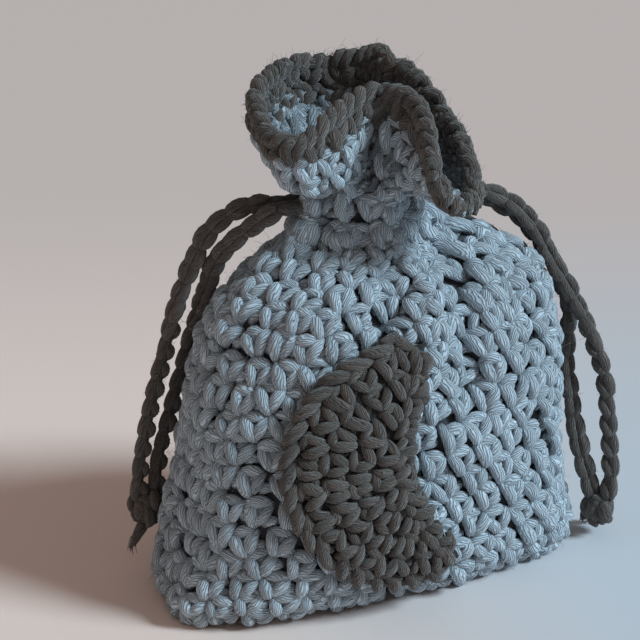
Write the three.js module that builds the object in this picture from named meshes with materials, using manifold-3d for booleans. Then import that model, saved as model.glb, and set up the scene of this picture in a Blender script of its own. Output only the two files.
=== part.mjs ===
// A crocheted drawstring sachet: a stuffed cotton pouch with a gathered neck, a ruffled mouth with a
// dark edging, a crescent moon sewn to the front, and two crocheted drawstrings with knotted ends.
// Millimetres, +Z up. The pouch stands on z = 0, its front with the moon faces -Y.
import * as THREE from 'three';
import { mergeVertices } from 'three/addons/utils/BufferGeometryUtils.js';
import Module from 'manifold-3d';

const wasm = await Module();
wasm.setup();

// Pouch
const pouchHalfWidth = 46.5;
const pouchHalfDepth = 26;
const pouchHeight = 73;
const pouchWall = 4.5;
const stitchWidth = 6.4;
const stitchHeight = 5.6;
const stitchRelief = 1.9;
// Gathered neck
const neckHalfWidth = 12.6;
const neckHalfDepth = 9.6;
const neckHeight = 8.8;
const neckBore = 1.7;
const pleatDepth = 0.9;
// Frill round the mouth
const frillReach = 25;
const frillHeight = 17;
const frillWall = 3.4;
const edgingHeight = 5;
const edgingSwell = 0.45;
// Moon on the front
const moonRadius = 26.2;
const moonCentreX = -2.4;
const moonCentreZ = 33.6;
const moonThickness = 3.2;
const moonBorderRadius = 1.5;
const moonHollow = 2.7;
const moonTipWidth = 4.5;
// Drawstrings: crocheted chains, pressed thinner inside the gathers
const cordRadius = 1.6;
const heldCordRadius = 1.4;
const knotRadius = 3.1;
const knotHeight = 8;
const tailRadius = 0.8;
// Fit
const gap = 0.3;
const padClearance = 0.6;
const tunnelClearance = 0.3;

// Counts, turns and shares
const pleatCount = 9;
const slowPleatCount = 5;
const slowPleatTurn = 1;
const slowPleatShare = 0.4;
const pleatStartShare = 0.82;
const neckFootShare = 0.09;
const neckWaistShare = 0.02;
const neckWaistHeightShare = 0.6;
const frillRampShare = 0.35;
const frillBowlPower = 1.1;
const frillFoldEaseShares = [0.1, 0.5];
const moonTop = THREE.MathUtils.degToRad(92);
const moonFoot = THREE.MathUtils.degToRad(284);
const moonEdgeShare = 0.6;
const pouchFloorShare = 0.9;
const stitchTurnShare = 0.57;
// How deep the cloth lies beside a stitch, at the foot of one and over the one below it, as shares of
// stitchRelief.
const besideStitchShare = 0.62;
const footOfStitchShare = 1;
const topOfStitchShare = 0.25;
const padFloorShare = 0.88;

// How finely the curved pieces are divided
const ringCount = 48;
const measureSteps = 120;
const rimCount = 72;
const smoothSteps = 3;
const cordSides = 8;
const cordStepShare = 3;
const heldCordStepShare = 1.5;
const cordEndSides = 10;
const cordEndRings = 8;
const knotSides = 14;
const moonSteps = 30;
const moonAcross = 4;
const moonBorderSteps = 24;

// The pouch from the table up: height as a share of pouchHeight, then how far the left, right, front
// and back stand out between the neck (0) and the widest place (1), then the squareness of the ring.
const pouchRowShares = [
  [0.000, 0.86, 0.90, 0.39, 0.39, 3.0],
  [0.020, 0.95, 0.975, 0.60, 0.58, 3.0],
  [0.082, 0.97, 0.985, 0.85, 0.80, 2.8],
  [0.205, 0.88, 0.91, 1.00, 0.92, 2.6],
  [0.396, 0.80, 0.835, 1.00, 0.94, 2.5],
  [0.587, 0.75, 0.88, 0.93, 0.90, 2.4],
  [0.751, 0.655, 0.84, 0.79, 0.78, 2.3],
  [0.874, 0.515, 0.70, 0.58, 0.58, 2.2],
  [0.956, 0.29, 0.42, 0.335, 0.335, 2.1],
  [1.000, 0.08, 0.11, 0.10, 0.10, 2.0],
];

// Folds of the front below the neck: x at the neck and x at the lower end as shares of
// pouchHalfWidth, heights of the lower end and of the middle as shares of pouchHeight, then the
// width as a share of pouchHalfWidth and the rise as a share of pouchHalfDepth.
const foldShares = [
  [-0.025, -0.13, 0.76, 0.090, 0.055, -0.055],
  [0.085, 0.075, 0.68, 0.095, 0.085, 0.055],
  [0.28, 0.27, 0.56, 0.130, 0.075, -0.105],
];
// Rounded shoulders between the folds: centre x and z, reach along x and z, and rise.
const bulgeShares = [
  [-0.33, 0.87, 0.19, 0.10, 0.07],
  [0.61, 0.80, 0.17, 0.11, 0.05],
];

// The free edge of the frill: x and y as shares of frillReach, height as a share of frillHeight
// above the neck.
const rimShares = [
  [-0.83, 0.42, 1.05], [-0.93, 0.10, 1.01], [-0.95, -0.17, 0.93], [-0.88, -0.40, 0.88],
  [-0.75, -0.49, 0.91], [-0.59, -0.47, 1.01], [-0.42, -0.42, 1.12], [-0.21, -0.34, 1.22],
  [-0.03, -0.30, 1.25], [0.06, -0.46, 1.24], [0.06, -0.64, 1.12], [0.03, -0.80, 0.91],
  [0.02, -0.94, 0.65], [0.11, -1.03, 0.38], [0.28, -1.04, 0.24], [0.46, -0.94, 0.22],
  [0.59, -0.79, 0.38], [0.62, -0.62, 0.60], [0.59, -0.46, 0.77], [0.57, -0.27, 0.92],
  [0.59, -0.07, 1.07], [0.57, 0.11, 1.22], [0.53, 0.25, 1.28], [0.48, 0.33, 1.27],
  [0.48, 0.43, 1.32], [0.46, 0.56, 1.37], [0.34, 0.68, 1.32], [0.16, 0.82, 1.24],
  [-0.07, 0.89, 1.21], [-0.33, 0.84, 1.22], [-0.57, 0.69, 1.17], [-0.74, 0.55, 1.12],
];
// Where the first point of the rim stands round the neck, as a share of a turn from the front.
const rimStartShare = -0.325;
// Folds of the frill below its edge: the place of each beside the edge as x and y shares of frillReach,
// its width as a share of the edge, and how far it stands out and droops as shares of frillReach and
// frillHeight.
const frillFoldShares = [
  [-0.03, -0.34, 0.03, -0.064, 0],
  [-0.62, -0.48, 0.06, 0.1, 0.06],
  [0.3, -1, 0.06, 0.12, 0.12],
];

// Routes of the drawstrings. The held part of each runs once round the neck and leaves at one side.
const leftLoopRoute = [
  [-17.0, 0.4, 79.8], [-14.5, 0.3, 79.8], [-12.2, -0.2, 79.8], [-9.6, -1.9, 79.8], [-7.2, -4.2, 79.8],
  [-3.8, -5.6, 79.8], [0.0, -6.0, 79.8], [3.8, -5.6, 79.8], [7.2, -3.9, 79.8], [8.9, 0.0, 79.8],
  [7.4, 3.6, 79.8], [3.8, 5.8, 79.8], [0.0, 6.3, 79.8], [-4.0, 6.2, 79.8], [-8.0, 5.6, 79.8],
  [-11.4, 4.8, 79.8], [-14.0, 4.5, 79.8], [-17.0, 4.4, 79.8],
];
const rightLoopRoute = [
  [17.0, 0.0, 75.8], [14.5, -0.1, 75.8], [12.2, -0.6, 75.8], [9.6, -2.1, 75.8], [7.2, -4.2, 75.8],
  [3.8, -5.6, 75.8], [0.0, -6.0, 75.8], [-3.8, -5.6, 75.8], [-7.2, -3.9, 75.8], [-8.9, 0.0, 75.8],
  [-7.4, 3.6, 75.8], [-3.8, 5.8, 75.8], [0.0, 6.3, 75.8], [4.0, 6.1, 75.8], [8.0, 5.3, 75.8],
  [11.4, 4.5, 75.8], [14.0, 4.2, 75.8], [17.0, 4.2, 75.8],
];
const leftOuterRoute = [
  [-19.0, 4.4, 79.8], [-23.4, 6.0, 79.5], [-28.5, 8.0, 76.0], [-31.4, 10.0, 70.8], [-32.9, 12.0, 65.0],
  [-34.5, 13.2, 59.4], [-35.8, 14.2, 53.6], [-37.1, 15.0, 48.4], [-38.4, 15.6, 42.6], [-39.9, 16.0, 37.0],
  [-41.2, 16.2, 31.4], [-42.5, 16.3, 25.2], [-43.3, 16.3, 19.0],
];
const leftInnerRoute = [
  [-19.0, 0.4, 79.8], [-22.8, 2.6, 76.8], [-26.6, 5.8, 72.6], [-28.2, 9.6, 67.6], [-28.0, 13.6, 61.6],
  [-28.0, 17.0, 55.4], [-30.0, 18.4, 49.2], [-31.6, 18.8, 43.0], [-33.5, 18.4, 37.8], [-35.6, 17.8, 32.8],
  [-37.4, 17.3, 27.9], [-38.5, 17.2, 23.0], [-39.0, 17.0, 19.0],
];
const rightOuterRoute = [
  [19.0, 0.0, 75.8], [23.0, -0.2, 77.3], [27.5, -0.6, 76.6], [32.2, -1.6, 74.0], [37.0, -2.2, 68.8],
  [40.7, -3.0, 61.8], [43.6, -4.8, 56.0], [46.3, -6.5, 50.0], [48.8, -8.5, 43.0], [50.2, -10.0, 37.0],
  [50.8, -11.0, 30.0], [51.2, -11.6, 23.0], [51.4, -12.4, 16.5], [50.8, -13.2, 11.0],
];
const rightInnerRoute = [
  [19.0, 4.2, 75.8], [24.6, 3.8, 75.6], [29.3, 3.0, 74.6], [34.0, 2.0, 71.8], [38.7, 1.4, 67.0],
  [42.5, 0.6, 61.0], [45.1, -0.8, 54.6], [46.1, -2.4, 48.6], [45.4, -3.0, 42.4], [44.8, -3.8, 38.0],
  [44.8, -5.0, 34.0], [45.3, -6.0, 29.8], [45.5, -7.0, 25.4], [46.0, -8.2, 20.8], [47.0, -9.4, 16.0],
  [48.2, -10.4, 11.0],
];
const leftTailRoutes = [
  [[-43.2, 15.5, 10.2], [-44.1, 15.3, 9.4], [-44.9, 15.1, 8.5], [-45.5, 15.0, 7.4]],
  [[-42.4, 17.8, 10.1], [-42.8, 18.1, 9.0], [-43.2, 18.3, 7.9], [-43.5, 18.4, 6.8]],
];
const rightTailRoutes = [
  [[51.0, -7.9, 4.8], [51.3, -7.4, 3.6], [51.5, -6.9, 2.4], [51.6, -6.3, 1.4]],
  [[49.0, -7.7, 4.6], [49.0, -7.1, 3.4], [49.2, -6.5, 2.3], [49.5, -5.8, 1.4]],
];

const paleYarn = { color: 0xa9b6c6, roughness: 0.95, metalness: 0 };
const darkYarn = { color: 0x5a5048, roughness: 0.95, metalness: 0 };
const linen = { color: 0xe4dccb, roughness: 0.9, metalness: 0 };

const sachet = new THREE.Group();

function addPiece(name, geometry, look) {
  geometry.computeVertexNormals();
  const mesh = new THREE.Mesh(geometry, new THREE.MeshStandardMaterial(look));
  mesh.name = name;
  sachet.add(mesh);
  return mesh;
}

// Value of each column of a table at t from 0 (first row) to 1 (last row), on a smooth curve.
function alongRows(rows, t) {
  const place = THREE.MathUtils.clamp(t, 0, 1) * (rows.length - 1);
  const i = Math.min(Math.floor(place), rows.length - 2);
  const f = place - i;
  const row = (k) => rows[THREE.MathUtils.clamp(k, 0, rows.length - 1)];
  const [before, from, to, after] = [row(i - 1), row(i), row(i + 1), row(i + 2)];
  return from.map((value, k) => {
    const slope = to[k] - before[k];
    const bend = 2 * before[k] - 5 * value + 4 * to[k] - after[k];
    const twist = 3 * value - before[k] - 3 * to[k] + after[k];
    return (2 * value + slope * f + bend * f ** 2 + twist * f ** 3) / 2;
  });
}

function bell(distance, width) {
  return Math.exp(-((distance / width) ** 2));
}

function smooth(from, to, value) {
  return THREE.MathUtils.smoothstep(value, from, to);
}

// Gathers of the neck, which run out down the shoulders.
function pleat(angle, heightShare) {
  const slowWave = slowPleatShare * Math.cos(slowPleatCount * angle + slowPleatTurn);
  const wave = Math.cos(pleatCount * angle) + slowWave;
  return pleatDepth * wave * smooth(pleatStartShare, 1, heightShare);
}

// Outward rise of the front at a place on it.
function frontRise(x, z) {
  let rise = 0;
  for (const [topShare, footShare, footHeightShare, easeShare, widthShare, riseShare] of foldShares) {
    const foot = footHeightShare * pouchHeight;
    const down = THREE.MathUtils.clamp((pouchHeight - z) / (pouchHeight - foot), 0, 1);
    const middle = THREE.MathUtils.lerp(topShare, footShare, down) * pouchHalfWidth;
    const fade = smooth(foot - easeShare * pouchHeight, foot + easeShare * pouchHeight, z);
    rise += riseShare * pouchHalfDepth * fade * bell(x - middle, widthShare * pouchHalfWidth);
  }
  for (const [xShare, zShare, widthShare, heightShare, riseShare] of bulgeShares) {
    const across = bell(x - xShare * pouchHalfWidth, widthShare * pouchHalfWidth);
    const along = bell(z - zShare * pouchHeight, heightShare * pouchHeight);
    rise += riseShare * pouchHalfDepth * across * along;
  }
  return rise;
}

function signedPower(value, power) {
  return Math.sign(value) * Math.abs(value) ** power;
}

// Plain skin of the pouch. The angle starts at the front and goes round by the right.
function plainSkin(angle, level) {
  const [heightShare, left, right, front, back, squareness] = alongRows(pouchRowShares, level);
  const across = Math.sin(angle);
  const along = Math.cos(angle);
  const halfWidth = THREE.MathUtils.lerp(neckHalfWidth, pouchHalfWidth, across < 0 ? left : right);
  const halfDepth = THREE.MathUtils.lerp(neckHalfDepth, pouchHalfDepth, along > 0 ? front : back);
  return new THREE.Vector3(
    halfWidth * signedPower(across, 2 / squareness),
    -halfDepth * signedPower(along, 2 / squareness),
    heightShare * pouchHeight,
  );
}

// The same skin moved inward, square to itself.
function innerSkin(angle, level, depth) {
  const stepShare = 0.002;
  const here = plainSkin(angle, level);
  const round = plainSkin(angle + stepShare, level).sub(plainSkin(angle - stepShare, level));
  const low = plainSkin(angle, Math.max(level - stepShare, 0));
  const up = plainSkin(angle, Math.min(level + stepShare, 1)).sub(low);
  return here.addScaledVector(round.cross(up).normalize(), -depth);
}

// Level of a row of the table; half rows lie between two of them.
function rowLevel(row) {
  return row / (pouchRowShares.length - 1);
}

// The outside of the pouch, with its folds and gathers.
function outerSkin(angle, level) {
  const point = plainSkin(angle, level);
  const outward = new THREE.Vector3(Math.sin(angle), -Math.cos(angle), 0);
  point.addScaledVector(outward, pleat(angle, point.z / pouchHeight));
  const facing = smooth(0, 0.5, Math.cos(angle));
  point.y -= facing * frontRise(point.x, point.z);
  return point;
}

function ring(count, pointAt) {
  return Array.from({ length: count }, (_, k) => pointAt((k / count) * 2 * Math.PI));
}

// Lengths along a run of points, from the first to each of them.
function lengthsAlong(points) {
  const lengths = [0];
  for (let i = 1; i < points.length; i += 1) {
    lengths.push(lengths[i - 1] + points[i].distanceTo(points[i - 1]));
  }
  return lengths;
}

// How far along a table of growing lengths a length lies, from 0 at its first to 1 at its last.
function shareAt(lengths, length) {
  const i = Math.max(1, lengths.findIndex((value) => value >= length));
  return (i - 1 + (length - lengths[i - 1]) / (lengths[i] - lengths[i - 1])) / (lengths.length - 1);
}

// Lengths up the skin of the pouch, on average round it.
function lengthsUp() {
  const levels = Array.from({ length: measureSteps + 1 }, (_, i) => i / measureSteps);
  const runs = ring(ringCount, (angle) => lengthsAlong(levels.map((level) => outerSkin(angle, level))));
  return levels.map((_, i) => runs.reduce((sum, run) => sum + run[i] / ringCount, 0));
}

// A round of stitches on the pouch: two points to a stitch, one on its middle and one beside it. The
// round starts some half stitches on from the front.
function stitchRing(level, halfStitches, middleShare, besideShare) {
  const measured = ring(measureSteps, (angle) => outerSkin(angle, level));
  const lengths = lengthsAlong([...measured, measured[0]]);
  const girth = lengths.at(-1);
  const count = Math.round(girth / stitchWidth);
  return Array.from({ length: 2 * count }, (_, k) => {
    const share = (k + (halfStitches % 1)) / (2 * count);
    const angle = shareAt(lengths, share * girth) * 2 * Math.PI;
    const beside = (k + Math.floor(halfStitches)) % 2 === 1;
    const depth = (beside ? besideShare : middleShare) * stitchRelief;
    const inward = innerSkin(angle, level, depth).sub(plainSkin(angle, level));
    return outerSkin(angle, level).add(inward);
  });
}

// Faces between two rings that start at points a and b and may differ in count: the ring that lags
// behind takes each step. Where both stand level, the lower one steps first, or the upper one if turned.
function bandFaces(low, high, a, b, turned) {
  const faces = [];
  let i = 0;
  let j = 0;
  while (i < low.length || j < high.length) {
    const corner = [a + (i % low.length), b + (j % high.length)];
    const lead = i / low.length - j / high.length;
    if (lead < 0 || (lead === 0 && !turned)) {
      i += 1;
      faces.push(corner[0], a + (i % low.length), corner[1]);
    } else {
      j += 1;
      faces.push(corner[0], b + (j % high.length), corner[1]);
    }
  }
  return faces;
}

// A closed solid through rings of points: capped at both ends, or joined end to start. The joining band
// is split the other way, so that it matches the band of a solid that it faces.
function loft(rings, { joined = false } = {}) {
  const positions = rings.flat().flatMap((p) => [p.x, p.y, p.z]);
  const starts = rings.map((_, i) => rings.slice(0, i).flat().length);
  const faces = [];
  const last = joined ? rings.length : rings.length - 1;
  for (let i = 0; i < last; i += 1) {
    const above = (i + 1) % rings.length;
    faces.push(...bandFaces(rings[i], rings[above], starts[i], starts[above], above === 0));
  }
  if (!joined) {
    for (const [cap, turned] of [[0, true], [rings.length - 1, false]]) {
      const count = rings[cap].length;
      const middle = new THREE.Vector3();
      rings[cap].forEach((p) => middle.addScaledVector(p, 1 / count));
      const centre = positions.length / 3;
      positions.push(middle.x, middle.y, middle.z);
      for (let j = 0; j < count; j += 1) {
        const here = starts[cap] + j;
        const next = starts[cap] + ((j + 1) % count);
        faces.push(centre, turned ? next : here, turned ? here : next);
      }
    }
  }
  const geometry = new THREE.BufferGeometry();
  geometry.setAttribute('position', new THREE.Float32BufferAttribute(positions, 3));
  geometry.setIndex(faces);
  return geometry;
}

function toSolid(geometry) {
  geometry.deleteAttribute('normal');
  geometry.deleteAttribute('uv');
  const merged = mergeVertices(geometry);
  return new wasm.Manifold(new wasm.Mesh({
    numProp: 3,
    vertProperties: new Float32Array(merged.attributes.position.array),
    triVerts: new Uint32Array(merged.index.array),
  }));
}

function toGeometry(solid) {
  const mesh = solid.getMesh();
  const geometry = new THREE.BufferGeometry();
  geometry.setAttribute('position', new THREE.BufferAttribute(mesh.vertProperties, 3));
  geometry.setIndex(new THREE.BufferAttribute(mesh.triVerts, 1));
  return geometry;
}

function route(points) {
  return new THREE.CatmullRomCurve3(points.map((p) => new THREE.Vector3(...p)));
}

// Steps along a cord of this radius: one for about every diameter and a half.
function cordSteps(curve, radius) {
  return Math.max(4, Math.ceil(curve.getLength() / (cordStepShare * radius)));
}

// The held cord bends tightly, so it has a step for every radius, and its tunnel has the same steps.
function heldSteps(curve) {
  return Math.ceil(curve.getLength() / (heldCordStepShare * heldCordRadius));
}

function cordGeometry(curve, radius, steps = cordSteps(curve, radius)) {
  const section = new THREE.Shape(Array.from({ length: cordSides }, (_, k) => {
    const turn = (k / cordSides) * 2 * Math.PI;
    return new THREE.Vector2(radius * Math.cos(turn), radius * Math.sin(turn));
  }));
  return new THREE.ExtrudeGeometry(section, { steps, extrudePath: curve, bevelEnabled: false });
}

// Rounds of stitches up the pouch. Each lies on from the last by half a stitch and a little more, and
// its stitches go down between the ones below.
function stitchRounds() {
  const lengths = lengthsUp();
  const rounds = Math.round(lengths.at(-1) / stitchHeight);
  const levelAt = (place) => shareAt(lengths, (place / rounds) * lengths.at(-1));
  const rings = [];
  for (let i = 0; i < rounds; i += 1) {
    const halfStitches = 2 * stitchTurnShare * i;
    if (i > 0) rings.push(stitchRing(levelAt(i), halfStitches, footOfStitchShare, topOfStitchShare));
    rings.push(stitchRing(levelAt(i + 0.5), halfStitches, 0, besideStitchShare));
  }
  return rings;
}

// Pouch: a crocheted shell with a thick wall, open at the top into the neck.
function makePouch() {
  const innerRows = [8, 7.5, 7, 6.5, 6, 5.5, 5, 4.5, 4, 3.5, 3];
  const base = ring(ringCount, (angle) => outerSkin(angle, 0));
  const top = ring(ringCount, (angle) => outerSkin(angle, 1));
  const topEdge = ring(ringCount, (angle) => {
    const edge = plainSkin(angle, 1);
    const inward = new THREE.Vector3(Math.sin(angle), -Math.cos(angle), 0);
    return edge.addScaledVector(inward, -pouchWall);
  });
  const rings = [base, ...stitchRounds(), top, topEdge];
  for (const row of innerRows) {
    rings.push(ring(ringCount, (angle) => innerSkin(angle, rowLevel(row), pouchWall)));
  }
  rings.push(floorRing(pouchWall, pouchFloorShare));
  addPiece('pouch_body', loft(rings), paleYarn);
}

// The inner skin's lower end: a flat ring as high above the table as it is deep in the wall.
function floorRing(depth, reachShare) {
  return ring(ringCount, (angle) => {
    const point = innerSkin(angle, rowLevel(2), depth);
    point.x *= reachShare;
    point.y *= reachShare;
    point.z = depth;
    return point;
  });
}

// The scented pad fills the pouch and keeps a small clearance to its wall all round.
function makeScentPad() {
  const depth = pouchWall + padClearance;
  const rows = [3, 3.5, 4, 4.5, 5, 5.5, 6, 6.5, 7, 7.5, 8];
  const rings = rows.map((row) => (
    ring(ringCount, (angle) => innerSkin(angle, rowLevel(row), depth))));
  addPiece('scent_pad', loft([floorRing(depth, padFloorShare), ...rings]), linen);
}

// Outline of the neck at a share of its height: flared onto the pouch, waisted, then flaring again.
function neckRing(angle, share, swell) {
  const rise = smooth(0, neckWaistHeightShare, share);
  const flare = THREE.MathUtils.lerp(neckFootShare, neckWaistShare, rise);
  const halfWidth = THREE.MathUtils.lerp(neckHalfWidth, pouchHalfWidth, flare);
  const halfDepth = THREE.MathUtils.lerp(neckHalfDepth, pouchHalfDepth, flare);
  const out = pleat(angle, 1) + swell;
  return new THREE.Vector3(
    (halfWidth + out) * Math.sin(angle),
    -(halfDepth + out) * Math.cos(angle),
    pouchHeight + gap + share * neckHeight,
  );
}

// The gathered neck, with the two tunnels in which the drawstrings run round it.
function makeNeck() {
  const swellShares = [[0, 0], [0.2, 0.35], [0.42, 0], [0.6, 0.3], [0.8, 0.35], [1, 0]];
  const boreShares = [1, 0.5, 0];
  const rings = swellShares.map(([share, swell]) => (
    ring(ringCount, (angle) => neckRing(angle, share, swell * pleatDepth))));
  for (const share of boreShares) {
    rings.push(ring(ringCount, (angle) => new THREE.Vector3(
      neckBore * Math.sin(angle),
      -neckBore * Math.cos(angle),
      pouchHeight + gap + share * neckHeight,
    )));
  }
  let neck = toSolid(loft(rings, { joined: true }));
  for (const points of [leftLoopRoute, rightLoopRoute]) {
    const curve = route(points);
    const tunnelRadius = heldCordRadius + tunnelClearance;
    neck = neck.subtract(toSolid(cordGeometry(curve, tunnelRadius, heldSteps(curve))));
  }
  addPiece('neck_band', toGeometry(neck), paleYarn);
}

const neckTop = pouchHeight + gap + neckHeight;
const rimCurve = new THREE.CatmullRomCurve3(rimShares.map(([x, y, z]) => new THREE.Vector3(
  x * frillReach,
  y * frillReach,
  neckTop + gap + z * frillHeight,
)), true);
const rimPoints = rimCurve.getSpacedPoints(rimCount).slice(0, rimCount);

// How far the folds of the frill push it out and down beside a point of its edge.
function frillFolds(k) {
  let push = 0;
  let droop = 0;
  for (const [xShare, yShare, widthShare, pushShare, droopShare] of frillFoldShares) {
    const far = rimPoints.map((p) => Math.hypot(p.x - xShare * frillReach, p.y - yShare * frillReach));
    const ahead = THREE.MathUtils.euclideanModulo((k - far.indexOf(Math.min(...far))) / rimCount, 1);
    const across = bell(Math.min(ahead, 1 - ahead), widthShare);
    push += pushShare * frillReach * across;
    droop += droopShare * frillHeight * across;
  }
  return [push, droop];
}

// Skin of the frill: share 0 is at the neck and 1 at its free edge. It swells out like a bowl.
function frillSkin(k, share) {
  const rim = rimPoints[k];
  const angle = (rimStartShare + k / rimCount) * 2 * Math.PI;
  const root = neckRing(angle, 1, 0);
  root.z += gap;
  const turn = (share * Math.PI) / 2;
  const out = Math.sin(turn) ** frillBowlPower;
  const up = THREE.MathUtils.lerp(1 - Math.cos(turn), share, frillRampShare);
  const [push, droop] = frillFolds(k);
  const fold = Math.sin(share * Math.PI) * smooth(...frillFoldEaseShares, share);
  const point = new THREE.Vector3(
    THREE.MathUtils.lerp(root.x, rim.x, out),
    THREE.MathUtils.lerp(root.y, rim.y, out),
    THREE.MathUtils.lerp(root.z, rim.z, up) - droop * fold,
  );
  return point.addScaledVector(new THREE.Vector3(rim.x, rim.y, 0).normalize(), push * fold);
}

// The ring of the frill at a share, moved inward by a depth, square to its smoothed course.
function frillRing(share, depth) {
  const points = Array.from({ length: rimCount }, (_, k) => frillSkin(k, share));
  return points.map((point, k) => {
    const before = points[(k + rimCount - smoothSteps) % rimCount];
    const after = points[(k + smoothSteps) % rimCount];
    const outward = new THREE.Vector3(after.y - before.y, before.x - after.x, 0).normalize();
    return point.clone().addScaledVector(outward, -depth);
  });
}

// Ruffled frill of pale yarn, and the dark round worked along its edge.
function makeFrill() {
  const slant = Math.hypot(frillReach - neckHalfWidth, frillHeight);
  const edgeShare = 1 - edgingHeight / slant;
  const paleShares = [0, 0.18, 0.36, 0.54];
  const side = (depth) => {
    const rings = paleShares.map((share) => frillRing(share, depth));
    const last = rings.at(-1);
    rings.push(frillRing(edgeShare, depth).map((p, k) => (
      p.addScaledVector(last[k].clone().sub(p).normalize(), gap))));
    return rings;
  };
  const frill = loft([...side(0), ...side(frillWall).reverse()], { joined: true });
  addPiece('mouth_frill', frill, paleYarn);

  const middleShare = (1 + edgeShare) / 2;
  const edging = [
    frillRing(edgeShare, 0),
    frillRing(middleShare, -edgingSwell),
    frillRing(1, 0),
    frillRing(1, frillWall),
    frillRing(middleShare, frillWall + edgingSwell),
    frillRing(edgeShare, frillWall),
  ];
  addPiece('frill_edging', loft(edging, { joined: true }), darkYarn);
}

// Depth of the front of the pouch at a place on it, on the plain skin with its folds.
function frontDepth(x, z) {
  const rows = pouchRowShares;
  let low = 0;
  let high = 1;
  for (let i = 0; i < 40; i += 1) {
    const middle = (low + high) / 2;
    if (alongRows(rows, middle)[0] * pouchHeight < z) low = middle;
    else high = middle;
  }
  const [, left, right, front, , squareness] = alongRows(rows, low);
  const halfWidth = THREE.MathUtils.lerp(neckHalfWidth, pouchHalfWidth, x < 0 ? left : right);
  const halfDepth = THREE.MathUtils.lerp(neckHalfDepth, pouchHalfDepth, front);
  const out = Math.abs(x / halfWidth) ** squareness;
  return halfDepth * (1 - out) ** (1 / squareness) + frontRise(x, z);
}

// Place on an arc about the middle of the moon, from its top tip round by the left to its foot.
function moonArcPoint(share, radius) {
  const turn = THREE.MathUtils.lerp(moonTop, moonFoot, share);
  return new THREE.Vector2(moonCentreX + radius * Math.cos(turn), moonCentreZ + radius * Math.sin(turn));
}

function onFront(place, lift) {
  return new THREE.Vector3(place.x, -frontDepth(place.x, place.y) - lift, place.y);
}

// The moon is a crescent patch, thinner at its edges, that lies on the front.
function makeMoon() {
  const patchRadius = moonRadius - 2 * moonBorderRadius - gap;
  const topTip = moonArcPoint(0, patchRadius);
  const footTip = moonArcPoint(1, patchRadius);
  const chord = footTip.clone().sub(topTip);
  const aside = new THREE.Vector2(-chord.y, chord.x).normalize();
  const rings = [];
  for (let i = 0; i <= moonSteps; i += 1) {
    const share = i / moonSteps;
    const outer = moonArcPoint(share, patchRadius);
    const bow = 1 - (2 * share - 1) ** 2;
    const inner = topTip.clone().addScaledVector(chord, share);
    inner.addScaledVector(aside, moonTipWidth * (1 - bow) - moonHollow * bow);
    const back = [];
    const face = [];
    for (let j = 0; j <= moonAcross; j += 1) {
      const place = inner.clone().lerp(outer, j / moonAcross);
      const rounding = Math.sqrt(Math.max(0, 1 - (2 * (j / moonAcross) - 1) ** 2));
      const thickness = moonThickness * THREE.MathUtils.lerp(moonEdgeShare, 1, rounding);
      back.push(onFront(place, gap));
      face.push(onFront(place, gap + thickness));
    }
    rings.push([...face, ...back.reverse()]);
  }
  addPiece('moon_patch', loft(rings), darkYarn);
}

// The chain worked along the outer arc of the moon.
function makeMoonBorder() {
  const arcRadius = moonRadius - moonBorderRadius;
  const path = Array.from({ length: moonBorderSteps + 1 }, (_, i) => (
    onFront(moonArcPoint(i / moonBorderSteps, arcRadius), 2 * gap + moonBorderRadius)));
  const curve = new THREE.CatmullRomCurve3(path);
  addPiece('moon_border', cordGeometry(curve, moonBorderRadius), darkYarn);
}

// The part of a drawstring that the neck holds: once round it, with both ends out at one side.
function makeHeldCord(name, points) {
  const curve = route(points);
  addPiece(name, cordGeometry(curve, heldCordRadius, heldSteps(curve)), darkYarn);
}

// A free strand. It starts in a rounded end, about which it swings out from the neck.
function makeStrand(name, points) {
  const [x, y, z] = points[0];
  const end = new THREE.SphereGeometry(cordRadius, cordEndSides, cordEndRings);
  end.translate(x, y, z);
  const strand = toSolid(cordGeometry(route(points), cordRadius)).add(toSolid(end));
  addPiece(name, toGeometry(strand), darkYarn);
}

// The knot that joins two strands hangs under their ends: three wraps pulled tight.
function makeKnot(name, outerRoute, innerRoute) {
  const place = new THREE.Vector3(...outerRoute.at(-1)).lerp(new THREE.Vector3(...innerRoute.at(-1)), 0.5);
  place.z -= gap + knotHeight / 2;
  const outlineShares = [
    [0, -0.5], [0.62, -0.46], [0.92, -0.34], [0.84, -0.2], [1, -0.02], [0.9, 0.16],
    [0.95, 0.3], [0.66, 0.46], [0, 0.5],
  ];
  const outline = outlineShares.map(([r, h]) => new THREE.Vector2(r * knotRadius, h * knotHeight));
  const knot = new THREE.LatheGeometry(outline, knotSides);
  knot.rotateX(Math.PI / 2);
  knot.translate(place.x, place.y, place.z);
  addPiece(name, toGeometry(toSolid(knot)), darkYarn);
}

function makeTail(name, points) {
  addPiece(name, cordGeometry(route(points), tailRadius), darkYarn);
}

makePouch();
makeScentPad();
makeNeck();
makeFrill();
makeMoon();
makeMoonBorder();
makeHeldCord('left_cord_loop', leftLoopRoute);
makeStrand('left_cord_outer', leftOuterRoute);
makeStrand('left_cord_inner', leftInnerRoute);
makeKnot('left_knot', leftOuterRoute, leftInnerRoute);
makeTail('left_tail_a', leftTailRoutes[0]);
makeTail('left_tail_b', leftTailRoutes[1]);
makeHeldCord('right_cord_loop', rightLoopRoute);
makeStrand('right_cord_outer', rightOuterRoute);
makeStrand('right_cord_inner', rightInnerRoute);
makeKnot('right_knot', rightOuterRoute, rightInnerRoute);
makeTail('right_tail_a', rightTailRoutes[0]);
makeTail('right_tail_b', rightTailRoutes[1]);

export default sachet;
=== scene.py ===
"""Looks of a crocheted drawstring sachet, in metres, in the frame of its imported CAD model.

The yarn is made of strokes. A stroke is one leg of a stitch: a short closed tube, thick in the
middle, that dips into the cloth at both ends. Rows of strokes lie on the same curved cloth as the
CAD solids.
"""
import math

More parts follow.
